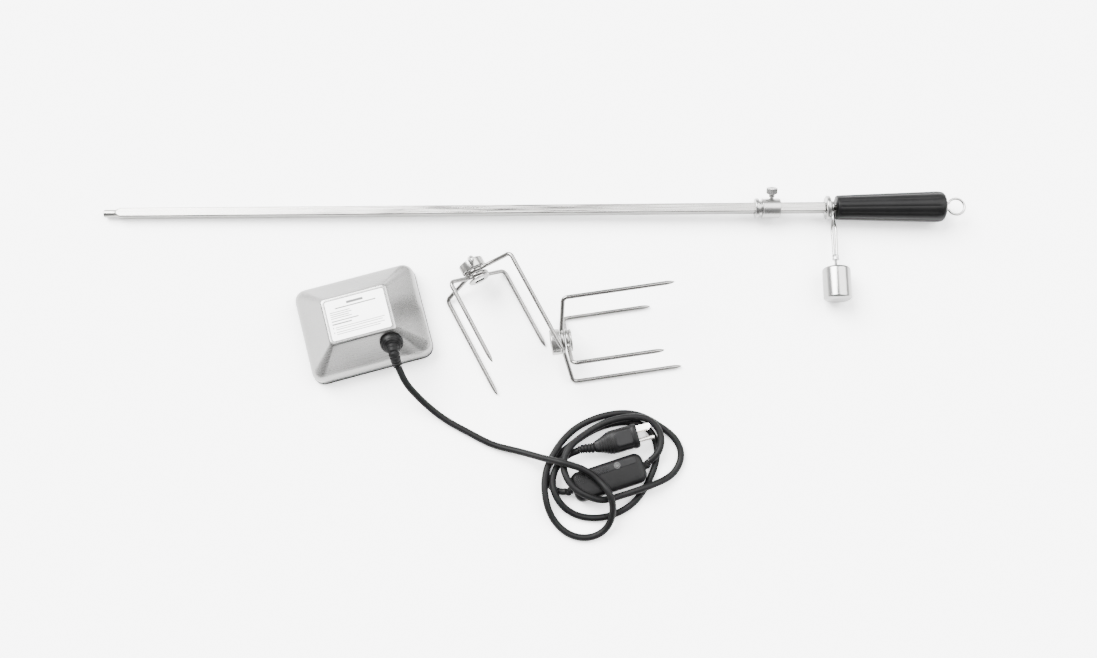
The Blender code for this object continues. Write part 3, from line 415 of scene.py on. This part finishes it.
# --- shapes -----------------------------------------------------------------
def smooth_route(points, step, floor=None):
    """Points at even steps along the natural cubic spline through the points given."""
    knots = np.array([tuple(point) for point in points], dtype=float)
    stations = np.concatenate([[0.0], np.cumsum(np.linalg.norm(np.diff(knots, axis=0), axis=1))])
    spans = np.diff(stations)
    count = len(knots)
    system = np.eye(count)
    right = np.zeros((count, 3))
    for i in range(1, count - 1):
        system[i, i - 1:i + 2] = spans[i - 1], 2 * (spans[i - 1] + spans[i]), spans[i]
        right[i] = 6 * ((knots[i + 1] - knots[i]) / spans[i]
                        - (knots[i] - knots[i - 1]) / spans[i - 1])
    bends = np.linalg.solve(system, right)
    route = []
    for station in np.linspace(0.0, stations[-1], round(stations[-1] / step) + 1):
        i = min(max(int(np.searchsorted(stations, station)) - 1, 0), count - 2)
        before = (stations[i + 1] - station) / spans[i]
        after = 1.0 - before
        point = before * knots[i] + after * knots[i + 1] + (
            (before ** 3 - before) * bends[i] + (after ** 3 - after) * bends[i + 1]
        ) * spans[i] ** 2 / 6
        if floor is not None:
            point[2] = max(point[2], floor)
        route.append(Vector(point))
    return route


def route_length(route):
    return sum((b - a).length for a, b in zip(route, route[1:]))


def tube(name, route, diameter, material):
    data = bpy.data.curves.new(name, "CURVE")
    data.dimensions = "3D"
    data.bevel_depth = diameter / 2
    data.bevel_resolution = 6
    data.use_fill_caps = True
    spline = data.splines.new("POLY")
    spline.points.add(len(route) - 1)
    for point, place in zip(spline.points, route):
        point.co = (*place, 1.0)
    data.materials.append(material)
    return add_object(name, data)


def lead_route(points):
    return smooth_route([Vector(point) * MM for point in points], CORD_STEP, CORD_FLOOR)


def make_cords(looks):
    first, second = lead_route(LEAD_TO_SWITCH), lead_route(LEAD_TO_PLUG)
    lead = tube("motor_lead", first, CORD, looks["black_cord"])
    tail = tube("plug_lead", second, CORD, looks["black_cord"])
    for piece, node in ((lead, "cord_to_switch"), (tail, "cord_to_plug")):
        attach(piece, "motor")
        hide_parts(node)
    return (lead, first), (tail, second)


def dress_nodes(looks):
    """Every CAD node gets the finish of its own material slot; those that stay show it."""
    for entry in frame["record"]["subparts"]:
        node = NODES[entry["node"]]
        node.data.materials.clear()
        node.data.materials.append(looks[entry["material_slot"]])


# --- mesh tools: pieces are made in millimetres, in their own axes -----------
def placed(origin, heading=0.0, tilt=0.0):
    return (Matrix.Translation(origin) @ Matrix.Rotation(heading, 4, "Z")
            @ Matrix.Rotation(-tilt, 4, "Y") @ Matrix.Scale(MM, 4))


MOTOR = placed(MOTOR_AT, MOTOR_HEADING)
SWITCH = placed(SWITCH_AT, SWITCH_HEADING)
PLUG = placed(PLUG_AT, PLUG_HEADING)
SPIT = placed(SPIT_TIP, 0.0, SPIT_TILT)


def mesh_of(name, fill, at):
    """The shape that fill draws, in its place."""
    shape = bmesh.new()
    fill(shape)
    bmesh.ops.recalc_face_normals(shape, faces=shape.faces)
    mesh = bpy.data.meshes.new(name)
    shape.to_mesh(mesh)
    shape.free()
    mesh.transform(at)
    return mesh


def make_piece(name, fill, look, body, nodes=(), *, at, sharp=32.0):
    """One piece: its mesh, its place, its finish, its body and the CAD nodes it stands for."""
    mesh = mesh_of(name, fill, at)
    mesh.shade_smooth()
    mesh.set_sharp_from_angle(angle=math.radians(sharp))
    mesh.materials.append(looks[look])
    part = add_object(name, mesh)
    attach(part, body)
    if nodes:
        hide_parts(*nodes)
    return part


def cut(part, fill, at):
    """Makes a hole in a piece."""
    cutter = add_object("cutter", mesh_of("cutter", fill, at))
    hole = part.modifiers.new("hole", "BOOLEAN")
    hole.object = cutter
    graph = bpy.context.evaluated_depsgraph_get()
    pierced = bpy.data.meshes.new_from_object(part.evaluated_get(graph))
    part.modifiers.clear()
    part.data = pierced
    bpy.data.objects.remove(cutter)


def skin(shape, rings, closed=False):
    """Faces between rings of the same count; the ends are capped unless the rings close up."""
    loops = [[shape.verts.new(point) for point in ring] for ring in rings]
    count = len(loops[0])
    pairs = list(zip(loops, loops[1:]))
    if closed:
        pairs.append((loops[-1], loops[0]))
    for one, two in pairs:
        for i in range(count):
            j = (i + 1) % count
            shape.faces.new((one[i], one[j], two[j], two[i]))
    if not closed:
        shape.faces.new(list(reversed(loops[0])))
        shape.faces.new(loops[-1])


def soften(outline, radius, steps=4):
    """The same open outline with every inner corner rounded."""
    points = [tuple(outline[0])]
    for before, corner, after in zip(outline, outline[1:], outline[2:]):
        corner = Vector(corner)
        back, ahead = Vector(before) - corner, Vector(after) - corner
        reach = min(radius, back.length / 2.1, ahead.length / 2.1)
        start = corner + back.normalized() * reach
        end = corner + ahead.normalized() * reach
        for i in range(steps + 1):
            t = i / steps
            points.append(tuple(start * (1 - t) ** 2 + corner * 2 * t * (1 - t) + end * t * t))
    points.append(tuple(outline[-1]))
    return points


def spaced(first, pitch, count):
    return [first + pitch * k for k in range(count)]


def divided(profile, after, parts):
    """The same profile, its stretch that starts at that index cut into equal parts."""
    start, end = profile[after:after + 2]
    added = [tuple(a + (b - a) * k / parts for a, b in zip(start, end)) for k in range(1, parts)]
    return profile[:after + 1] + added + profile[after + 1:]


def thread(crest, root, start, pitch, count):
    """Profile of a thread drawn as rings: crest and root in turn, on from the start."""
    drop = math.copysign(ROOT_AFTER_CREST, pitch)
    profile = []
    for station in spaced(start, pitch, count):
        profile += [(crest, station), (root, station + drop)]
    return profile


# For each axis, where a point of a section lies: across it, up it, and along the axis
AXES = {
    "X": lambda across, up, along: Vector((along, across, up)),
    "Y": lambda across, up, along: Vector((up, along, across)),
    "Z": lambda across, up, along: Vector((across, up, along)),
}


def round_ring(radius, station, steps, axis, centre=(0.0, 0.0)):
    """radius is a number, or a function of the angle."""
    ring = []
    for i in range(steps):
        angle = 2 * math.pi * (i + 0.5) / steps
        size = radius(angle) if callable(radius) else radius
        ring.append(AXES[axis](centre[0] + size * math.cos(angle),
                               centre[1] + size * math.sin(angle), station))
    return ring


def square_radius(side, corner=0.0):
    """Distance from the middle of a square to its side at an angle, its corners cut round."""
    def radius(angle):
        flat = side / 2 / max(abs(math.cos(angle)), abs(math.sin(angle)))
        return min(flat, side / 2 * math.sqrt(2) - corner)
    return radius


def turned(profile, steps=72, axis="Z", centre=(0.0, 0.0), ripple=None, bore=None):
    """Turned shape from (radius, station) points.

    ripple = (count, depth, from, to) knurls it, and bore opens it along its axis.
    """
    def fill(shape):
        rings = []
        for radius, station in profile:
            if ripple and ripple[2] <= station <= ripple[3]:
                count, depth = ripple[:2]
                rings.append(round_ring(
                    lambda a, r=radius: r - depth * (0.5 + 0.5 * math.cos(count * a)),
                    station, steps, axis, centre))
            else:
                rings.append(round_ring(radius, station, steps, axis, centre))
        if bore:
            for station in (profile[-1][1], profile[0][1]):
                rings.append(round_ring(bore, station, steps, axis, centre))
        skin(shape, rings, closed=bool(bore))
    return fill


def swept(route, radii, sides=20):
    """Round tube along the route, a ring at each point."""
    def fill(shape):
        last = len(route) - 1
        ways = [(route[min(i + 1, last)] - route[max(i - 1, 0)]).normalized()
                for i in range(last + 1)]
        side = ways[0].orthogonal().normalized()
        rings = []
        for point, way, radius in zip(route, ways, radii):
            side = (side - way * side.dot(way)).normalized()
            up = way.cross(side)
            rings.append([point + (side * math.cos(2 * math.pi * i / sides)
                                   + up * math.sin(2 * math.pi * i / sides)) * radius
                          for i in range(sides)])
        skin(shape, rings)
    return fill


def box_of(low, high, chamfer=0.0):
    def fill(shape):
        made = bmesh.ops.create_cube(shape, size=1.0)["verts"]
        for vert in made:
            vert.co = Vector([low[k] + (vert.co[k] + 0.5) * (high[k] - low[k])
                              for k in range(3)])
        if chamfer:
            edges = {edge for vert in made for edge in vert.link_edges}
            bmesh.ops.bevel(shape, geom=list(edges), offset=chamfer, segments=3, profile=0.5,
                            affect="EDGES")
    return fill


def both(*fills):
    """Several shapes in one mesh."""
    def fill(shape):
        for one in fills:
            one(shape)
    return fill


def rounded_rectangle(width, depth, radius, corner=8, runs=10):
    """Outline from the +X, +Y corner on, with points along its straight runs as well."""
    corners = []
    for turn in range(4):
        x = (width / 2 - radius) * (1 if turn in (0, 3) else -1)
        y = (depth / 2 - radius) * (1 if turn in (0, 1) else -1)
        for i in range(corner + 1):
            angle = math.pi / 2 * (turn + i / corner)
            corners.append(Vector((x + radius * math.cos(angle), y + radius * math.sin(angle))))
    outline = []
    for i, point in enumerate(corners):
        outline.append(point)
        if (i + 1) % (corner + 1) == 0:
            beyond = corners[(i + 1) % len(corners)]
            outline += [point.lerp(beyond, k / runs) for k in range(1, runs)]
    return outline


def slab(width, depth, radius, profile, centre=(0.0, 0.0)):
    """Rounded block. profile lists (inset, height) from its bottom to its top."""
    def fill(shape):
        rings = []
        for inset, height in profile:
            outline = rounded_rectangle(width - 2 * inset, depth - 2 * inset,
                                        max(0.4, radius - inset * 0.7))
            rings.append([Vector((p.x + centre[0], p.y + centre[1], height)) for p in outline])
        skin(shape, rings)
    return fill


def ribbed(route, size, taper, pitch, depth, name, node, at):
    """Strain relief: a tapering tube with a groove at every pitch, and plain ends."""
    along, radii = 0.0, []
    total = route_length(route)
    for i, point in enumerate(route):
        along += (point - route[i - 1]).length if i else 0.0
        base = size / 2 * (1 + (taper - 1) * along / total)
        groove = max(0.0, math.cos(2 * math.pi * along / pitch + math.pi)) ** 1.5
        if along < LEAD_OVERLAP or along > total - LEAD_OVERLAP:
            groove = 0.0
        radii.append(base * (1 - depth * groove))
    make_piece(name, swept(route, radii, 36), "black_rubber", "motor", (node,), at=at, sharp=50.0)


def lead_start(route, at):
    """In the axes of at: where a piece that meets the lead stops, and the way it faces."""
    inverse = at.inverted()
    end, inner = inverse @ route[0], inverse @ route[4]
    facing = (inner - end).normalized()
    return end - facing * LEAD_OVERLAP, facing


# --- motor ------------------------------------------------------------------
def cover_surface(shape):
    """Pressed cover: upright rim, soft shoulder, four slightly dished slopes and a flat top."""
    width, depth = COVER_SIZE
    run_x, run_y = (width - COVER_TOP[0]) / 2, (depth - COVER_TOP[1]) / 2
    bend_steps = 8
    profile = soften([(0.0, COVER_FOOT), (0.0, RIM_TOP), (run_y, COVER_HEIGHT),
                      (run_y + 3.0, COVER_HEIGHT)], 6.0, bend_steps)
    profile = divided(profile, bend_steps + 1, 12)
    foot_corner, top_corner = COVER_CORNERS
    rings = []
    for inset, height in profile:
        part = min(1.0, inset / run_y)
        outline = rounded_rectangle(width - 2 * inset * run_x / run_y, depth - 2 * inset,
                                    foot_corner + (top_corner - foot_corner) * part, runs=14)
        ring = []
        for point in outline:
            side_x = abs(point.x) / (width / 2 - inset * run_x / run_y)
            side_y = abs(point.y) / (depth / 2 - inset)
            middle = 1 - min(side_x, side_y) ** 2
            dish = COVER_DISH * middle * math.sin(math.pi * part)
            if max(side_x, side_y) <= 0.999:
                dish = 0.0
            ring.append(Vector((point.x, point.y, height - dish)))
        rings.append(ring)
    loops = [[shape.verts.new(point) for point in ring] for ring in rings]
    for one, two in zip(loops, loops[1:]):
        for i in range(len(one)):
            j = (i + 1) % len(one)
            shape.faces.new((one[i], one[j], two[j], two[i]))
    shape.faces.new(loops[-1])


def make_motor():
    cover = make_piece("cover_shell", cover_surface, "brushed_cover", "motor", ("motor_cover",),
                       at=MOTOR, sharp=60.0)
    sheet = cover.modifiers.new("sheet", "SOLIDIFY")
    sheet.thickness = COVER_SHEET * MM
    sheet.offset = -1.0

    top = COVER_HEIGHT
    layers = [(0.0, top + 0.15), (0.0, top + 0.42), (0.08, top + 0.5)]
    make_piece("label_sheet", slab(*LABEL_SIZE, LABEL_CORNER, layers), "label", "motor", ("rating_label",), at=MOTOR)
    width, depth = (side + 2 * LABEL_SHADOW_RIM for side in LABEL_SIZE)
    # A dark sheet under the label and wider than it: a painted shadow along the label's edge
    edge = slab(width, depth, LABEL_CORNER + 0.4, [(0.0, top + 0.02), (0.0, top + 0.12)])
    make_piece("label_painted_shadow", edge, "print_and_painted_shadow", "motor", at=MOTOR)
    bars = [box_of((start, middle - weight * BAR_WEIGHT, top + 0.505),
                   (end, middle + weight * BAR_WEIGHT, top + 0.53))
            for start, end, middle, weight in LABEL_BARS]
    make_piece("label_bars", both(*bars), "print_and_painted_shadow", "motor", at=MOTOR)

    # Gland and the ribbed strain relief that leaves it
    foot, inset = GLAND_SLOPE
    rise = COVER_HEIGHT - foot
    run = COVER_SIZE[1] / 2 - inset - COVER_TOP[1] / 2
    normal = Vector((0.0, -rise, run)).normalized()
    height = COVER_HEIGHT - rise * (-GLAND_AT[1] - COVER_TOP[1] / 2) / run
    gland = Vector((*GLAND_AT, height))
    turn = normal.to_track_quat("Z", "Y").to_matrix().to_4x4()
    at = MOTOR @ Matrix.Translation(gland) @ turn
    cut(cover, turned([(GLAND_HOLE, -6.0), (GLAND_HOLE, 6.0)], 48), at)
    dome = soften([(7.4, -4.0), (7.4, 0.45), (12.4, 0.45), (12.4, 1.8), (12.0, 3.6), (10.6, 6.0),
                   (10.1, 5.7), (9.6, 6.7), (8.0, 7.8), (7.5, 7.5), (7.0, 8.3), (4.6, 8.9),
                   (0.6, 9.0)], 0.5, 3)
    make_piece("gland_dome", turned(dome), "black_plastic", "motor", ("cord_gland",), at=at)
    end, facing = lead_start(lead_route(LEAD_TO_SWITCH), MOTOR)
    start = gland + normal * GLAND_RISE
    arch = Vector((0.0, -1.0, 4.6))
    middle = (start + end) / 2 + arch
    route = smooth_route([start, start + normal * 2.0, middle, end - facing * 1.5, end], 0.35)
    ribbed(route, 13.0, 0.76, 4.35, 0.17, "gland_boot", "gland_strain_relief", MOTOR)


# --- switch and plug ---------------------------------------------------------
def make_switch():
    lower = soften([(2.4, 0.3), (0.5, 2.2), (0.0, 4.6), (0.0, 8.5), (0.35, 8.85)], 1.2, 4)
    make_piece("switch_tray", slab(*SWITCH_SIZE, SWITCH_CORNER, lower), "black_plastic", "motor",
               ("switch_case_lower",), at=SWITCH)
    upper = soften([(0.35, 9.15), (0.0, 9.5), (0.0, 14.0), (1.0, 16.6), (3.2, 18.4), (7.0, 18.9),
                    (15.0, 19.0)], 2.0, 5)
    button_hole = turned([(BUTTON_HOLE, 11.0), (BUTTON_HOLE, 22.0)], 48, centre=BUTTON_AT)
    lid = make_piece("switch_lid", slab(*SWITCH_SIZE, SWITCH_CORNER, upper), "black_plastic",
                     "motor", ("switch_case_upper",), at=SWITCH)
    cut(lid, button_hole, SWITCH)
    strip = soften([(0.0, 17.2), (0.0, 18.9), (0.7, 19.35), (3.4, 19.4)], 0.4, 3)
    bevel = make_piece("switch_strip", slab(56.0, 7.6, 1.8, strip, (4.5, 8.6)),
                       "strip_plastic", "motor", at=SWITCH)
    cut(bevel, button_hole, SWITCH)
    ribs = [box_of((x, 5.6, 19.2), (x + RIB, 11.6, 19.85), RIB_CHAMFER)
            for x in spaced(-20.5, 2.3, 10)]
    studs = [box_of((x, y, 17.4), (x + RIB, y + RIB, 19.2), RIB_CHAMFER)
             for x in spaced(-34.0, 2.0, 4) for y in spaced(2.6, 1.9, 5)]
    make_piece("switch_ribs", both(*ribs, *studs), "strip_plastic", "motor",
               at=SWITCH)
    rim = soften([(2.9, 19.0), (3.6, 19.0), (3.6, 19.7), (3.3, 19.95), (2.9, 19.9)], 0.2, 3)
    make_piece("switch_rim", turned(rim, 48, centre=BUTTON_AT, bore=2.8), "button_plastic",
               "motor", at=SWITCH)
    cap = soften([(2.4, 13.6), (2.5, 13.8), (2.5, 19.9), (2.0, 20.6), (1.4, 20.6), (0.3, 20.3)],
                 0.3, 4)
    make_piece("push_button", turned(cap, 40, centre=BUTTON_AT), "button_plastic", "button",
               ("switch_button",), at=SWITCH)

    first, second = lead_route(LEAD_TO_SWITCH), lead_route(LEAD_TO_PLUG)
    for side, route, sign in (("right", first[::-1], 1), ("left", second, -1)):
        start = Vector((sign * (SWITCH_SIZE[0] / 2 + 0.3), 0.0, SWITCH_CORD_HEIGHT))
        end, facing = lead_start(route, SWITCH)
        path = smooth_route([start, start + Vector((sign * 1.8, 0.0, 0.0)),
                             end - facing * 1.8, end], 0.3)
        ribbed(path, 9.4, 0.8, 2.6, 0.16, f"switch_{side}_boot", f"switch_{side}_relief", SWITCH)


def make_plug():
    def section(width, height, station):
        ring = []
        for i in range(PLUG_SIDES):
            angle = 2 * math.pi * i / PLUG_SIDES
            c, s = math.cos(angle), math.sin(angle)
            ring.append(Vector((station,
                                width / 2 * math.copysign(abs(c) ** PLUG_ROUNDNESS, c),
                                height / 2 * math.copysign(abs(s) ** PLUG_ROUNDNESS, s))))
        return ring

    def body(shape):
        curve = smooth_route(PLUG_SECTIONS, 0.8)
        skin(shape, [section(w, h, x) for x, w, h in curve])

    make_piece("plug_shell", body, "black_plastic", "motor", ("plug_body",), at=PLUG)
    lengths, widths, heights = zip(*PLUG_SECTIONS)
    fins = [(x, float(np.interp(x, lengths, widths)), float(np.interp(x, lengths, heights)))
            for x in spaced(4.5, 3.0, 5)]

    def fin_rings(shape):
        for x, width, height in fins:
            skin(shape, [section(width + grow, height + grow, x + shift) for shift, grow in
                         ((0.0, 0.0), (0.3, 1.2), (0.9, 1.4), (1.2, 0.2))])

    make_piece("plug_fins", fin_rings, "black_plastic", "motor", at=PLUG)
    panel = soften([(0.0, 11.0), (0.0, 12.35), (0.5, 12.6), (3.0, 12.65)], 0.3, 3)
    make_piece("plug_panel", slab(17.0, 15.0, 2.5, panel, (30.5, 0.0)), "strip_plastic", "motor",
               at=PLUG)

    low, high = BLADE_EDGES
    for name, height in BLADE_HEIGHTS.items():
        def blade(shape, height=height):
            skin(shape, [[Vector((x, y, height + z)) for y, z in (
                (low + trim, -thick / 2), (high - trim, -thick / 2),
                (high - trim, thick / 2), (low + trim, thick / 2))]
                for x, trim, thick in BLADE_PROFILE])
        made = make_piece(f"plug_{name}_prong", blade, "nickel_plate", "motor",
                          (f"plug_{name}_blade",), at=PLUG, sharp=20.0)
        edge = made.modifiers.new("edge", "BEVEL")
        edge.width = 0.2 * MM
        edge.segments = 2
    pin = soften([(2.35, 46.3), (2.35, 61.0), (2.0, 62.6), (1.2, 63.6), (0.3, 63.8)], 0.6, 4)
    make_piece("plug_earth_pin", turned(pin, 32, "X", (-6.0, 0.0)), "nickel_plate", "motor",
               ("plug_ground_pin",), at=PLUG)

    end, facing = lead_start(lead_route(LEAD_TO_PLUG)[::-1], PLUG)
    start = Vector((-0.3, 0.0, 0.0))
    path = smooth_route([start, start - Vector((2.0, 0.0, 0.0)), end - facing * 1.5, end], 0.3)
    ribbed(path, 11.6, 0.76, 3.4, 0.2, "plug_boot", "plug_strain_relief", PLUG)


# --- spit -------------------------------------------------------------------
def make_rod():
    square = square_radius(ROD_SIDE, ROD_CORNER)
    chamfered = square_radius(ROD_SIDE - 0.8, ROD_CORNER)

    def at_station(station):
        cone = STUB_RADIUS + (CONE_RADIUS - STUB_RADIUS) * (station - CONE_START) / CONE_LENGTH
        return lambda angle: min(cone, square(angle))

    cone_rings = round(CONE_LENGTH / CONE_STEP) + 1
    profile = [(3.9, 0.0), (STUB_RADIUS, 0.4)]
    profile += [(at_station(s), s) for s in spaced(CONE_START, CONE_STEP, cone_rings)]
    profile += [(square, 23.0), (square, 400.0), (square, ROD_END - 0.4), (chamfered, ROD_END)]
    profile += thread(4.0, 3.5, ROD_END + 0.1, PITCH, 18) + [(3.9, STUD_END)]
    fill = turned(profile, 96, "X")
    make_piece("square_rod", fill, "drawn_bar", "spit", ("spit_rod",), at=SPIT, sharp=28.0)
    start, end = FLANGE_ENDS
    rim = soften([(4.6, start), (12.6, start), (13.4, start + 0.8), (13.4, end - 0.8),
                  (12.6, end), (4.6, end)], 0.5, 4)
    make_piece("flange_disc", turned(rim, 96, "X", bore=4.3), "polished_steel", "spit",
               ("end_flange",), at=SPIT)


def make_bushing():
    profile = soften([(7.8, 726.0), (10.6, 726.0), (11.2, 726.7), (11.2, 730.0), (8.8, 730.6),
                      (8.8, 733.4), (11.1, 734.0), (11.1, 735.2), (10.8, 735.6), (10.8, 753.4),
                      (10.2, 754.0), (7.8, 754.0)], 0.35, 3)
    make_piece("bushing_barrel", turned(profile, 96, "X", bore=square_radius(ROD_BORE)),
               "polished_steel", "bushing", ("rod_bushing",), at=SPIT)
    at = (SPIT @ Matrix.Translation((BUSHING_SCREW_AT, 0.0, 0.0))
          @ Matrix.Rotation(BUSHING_SCREW_TURN, 4, "X"))
    shank = thread(2.35, 1.95, 7.9, 0.75, 6)
    head = soften([(3.2, 12.8), (3.2, 15.4), (5.2, 16.2), (6.1, 17.0), (6.1, 22.3), (5.3, 23.2),
                   (2.6, 23.2), (2.2, 22.7), (0.4, 22.7)], 0.3, 3)
    make_piece("bushing_knob", turned(shank + head, 120, ripple=(24, 0.45, 16.8, 22.6)),
               "polished_steel", "bushing_thumb_screw", ("bushing_screw",), at=at)


def make_handle():
    start, end = HANDLE_ENDS
    small, large = HANDLE_RADII
    bend_steps = 6
    outline = soften([(small - 1.6, start), (small - 0.1, start + 0.6), (small + 0.3, start + 5.0),
                      (large, end - 9.0), (large - 0.9, end - 3.2), (large - 4.2, end - 0.7),
                      (large - 8.5, end)], 3.0, bend_steps)
    outline = divided(outline, 3 * (bend_steps + 1), 24)    # where the flutes run out

    def fill(shape):
        rings = []
        for radius, station in outline:
            fade = min(1.0, (station - start) / 5.0, (end - 4.0 - station) / 8.0)
            flute = FLUTE_DEPTH * max(0.0, fade)
            rings.append(round_ring(
                lambda a, r=radius, f=flute: r - f * (1 - abs(math.cos(FLUTES * a / 2))) ** 1.4,
                station, 20 * FLUTES, "X"))
        skin(shape, rings)

    make_piece("fluted_grip", fill, "grip_plastic", "handle", ("handle_grip",), at=SPIT,
               sharp=50.0)
    centre = Vector((end + LOOP_RADIUS + 3.2, 0.0, 0.0))
    points = [Vector((end + 0.2, -3.0, 0.0))]
    for step in range(19):
        angle = math.pi + LOOP_OPENING + (2 * math.pi - 2 * LOOP_OPENING) * step / 18
        points.append(centre + Vector((math.cos(angle), math.sin(angle), 0.0)) * LOOP_RADIUS)
    points.append(Vector((end + 0.2, 3.0, 0.0)))
    route = smooth_route(points, 0.6)
    make_piece("wire_loop", swept(route, [LOOP_WIRE / 2] * len(route)), "polished_steel", "handle",
               ("hanging_loop",), at=SPIT)


def make_counterweight():
    at = SPIT @ Matrix.Translation((COUNTERWEIGHT_AT, 0.0, 0.0))
    legs = [Vector((1.7, -54.3, 0.0)), Vector((1.85, -44.0, 0.0)), Vector((2.0, -34.0, 0.0)),
            Vector((2.1, -24.0, -0.4)), Vector((1.2, -12.0, -3.8))]
    points = list(legs)
    for step in range(13):
        angle = math.radians(-140.0 + 280.0 * step / 12)
        points.append(Vector((0.9 * (1 - step / 6), math.cos(angle) * HAIRPIN_EYE,
                              math.sin(angle) * HAIRPIN_EYE)))
    points += [Vector((-leg.x, leg.y, -leg.z)) for leg in reversed(legs)]
    route = smooth_route(points, 0.6)
    make_piece("wire_hairpin", swept(route, [HAIRPIN_WIRE / 2] * len(route)), "polished_steel",
               "swing_arm", ("counterweight_arm",), at=at)
    crimp = []
    for k in range(15):
        pinch = 0.45 * math.sin(math.pi * k / 14) ** 2
        crimp.append((3.9 - pinch - (0.4 if k in (0, 14) else 0.0), -(54.9 + 0.4 * k)))
    make_piece("wire_crimp", turned(crimp, 40, "Y"), "zinc_steel", "swing_arm", ("arm_crimp",),
               at=at)
    stem = thread(1.5, 1.22, -60.9, -PITCH, 36)
    make_piece("threaded_stem", turned(stem, 32, "Y"), "zinc_steel", "swing_arm",
               ("counterweight_stem",), at=at)
    block = soften([(1.8, -69.0), (12.8, -69.0), (15.4, -71.2), (15.4, -104.0), (13.6, -105.6),
                    (11.8, -106.0), (1.2, -106.0)], 1.6, 6)
    make_piece("weight_block", turned(block, 128, "Y"), "polished_steel", "weight",
               ("counterweight",), at=at)


# --- forks ------------------------------------------------------------------
def prong_route(kind):
    """One bent wire: prong, base bowed round the bore, and the other prong."""
    reach, angle, length, side = PRONGS[kind]
    layer = PRONG_LAYERS[kind]
    out = Vector((0.0, math.cos(angle), math.sin(angle)))
    across = Vector((0.0, -math.sin(angle), math.cos(angle))) * side

    def half(sign):
        away = out * sign
        tip = away * reach + Vector((length, 0.0, 0.0))
        points = [tip - Vector((back, 0.0, 0.0)) for back, _ in PRONG_TIP]
        points.append(tip - Vector((length / 2, 0.0, 0.0)))
        centre = away * (reach - PRONG_BEND) + Vector((PRONG_BEND, 0.0, 0.0))
        for step in range(13):
            bend = math.pi / 2 * step / 12
            points.append(centre + away * PRONG_BEND * math.cos(bend)
                          - Vector((PRONG_BEND * math.sin(bend), 0.0, 0.0)))
        return points

    base = [out * BOW_START + Vector((layer, 0.0, 0.0))]
    for step in range(1, 16):
        turn = math.pi * step / 16
        base.append((out * math.cos(turn) + across * math.sin(turn)) * BOW_RADIUS
                    + Vector((layer, 0.0, 0.0)))
    base.append(-out * BOW_START + Vector((layer, 0.0, 0.0)))
    return half(1) + base + list(reversed(half(-1)))


def make_fork(side):
    origin, heading = FORKS[side]
    at = placed(origin + Vector((0.0, 0.0, HUB_HEIGHT * MM)), heading)
    body = f"{side}_fork"
    for kind in PRONGS:
        route = prong_route(kind)
        tip = [share for _, share in PRONG_TIP]
        shares = tip + [1.0] * (len(route) - 2 * len(tip)) + tip[::-1]
        radii = [PRONG_WIRE / 2 * share for share in shares]
        make_piece(f"{side}_{kind}_wire", swept(route, radii, 28), "prong_wire", body,
                   (f"{side}_fork_{kind}_prongs",), at=at)
    front, back = HUB_FRONT, HUB_FRONT - HUB_LENGTH
    collar = soften([(7.9, back), (13.2, back), (14.0, back + 0.8), (14.0, front - 0.8),
                     (13.2, front), (7.9, front)], 0.35, 4)
    make_piece(f"{side}_collar", turned(collar, 96, "X", bore=square_radius(ROD_BORE)),
               "fork_steel", body, (f"{side}_fork_hub",), at=at)
    plate = PLATE_BACK
    disc = soften([(7.9, plate), (11.6, plate), (12.0, plate + 0.4), (12.0, plate + 1.7),
                   (11.5, plate + 2.2), (7.9, plate + 2.2)], 0.25, 3)
    make_piece(f"{side}_front_plate", turned(disc, 96, "X", bore=square_radius(ROD_BORE)),
               "fork_steel", body, (f"{side}_fork_plate",), at=at)
    lift = SCREW_BACKED_OUT[side]
    shank = thread(2.4, 2.0, 6.3 + lift, PITCH, 16)
    head = [(r, z + lift) for r, z in soften(
        [(2.4, 17.8), (3.4, 18.4), (3.4, 23.6), (2.9, 24.2), (1.3, 24.2), (1.1, 23.5),
         (0.2, 23.5)], 0.25, 3)]
    screw = at @ Matrix.Translation((front - HUB_LENGTH / 2, 0.0, 0.0))
    knurled = turned(shank + head, 72, ripple=(18, 0.25, 18.6 + lift, 23.4 + lift))
    make_piece(f"{side}_set_screw", knurled, "polished_steel", f"{side}_thumb_screw",
               (f"{side}_fork_screw",), at=screw)


make_camera()
looks = make_materials()
make_stage()
leads = make_cords(looks)
dress_nodes(looks)
make_motor()
make_switch()
make_plug()
make_rod()
make_bushing()
make_handle()
make_counterweight()
for fork in FORKS:
    make_fork(fork)
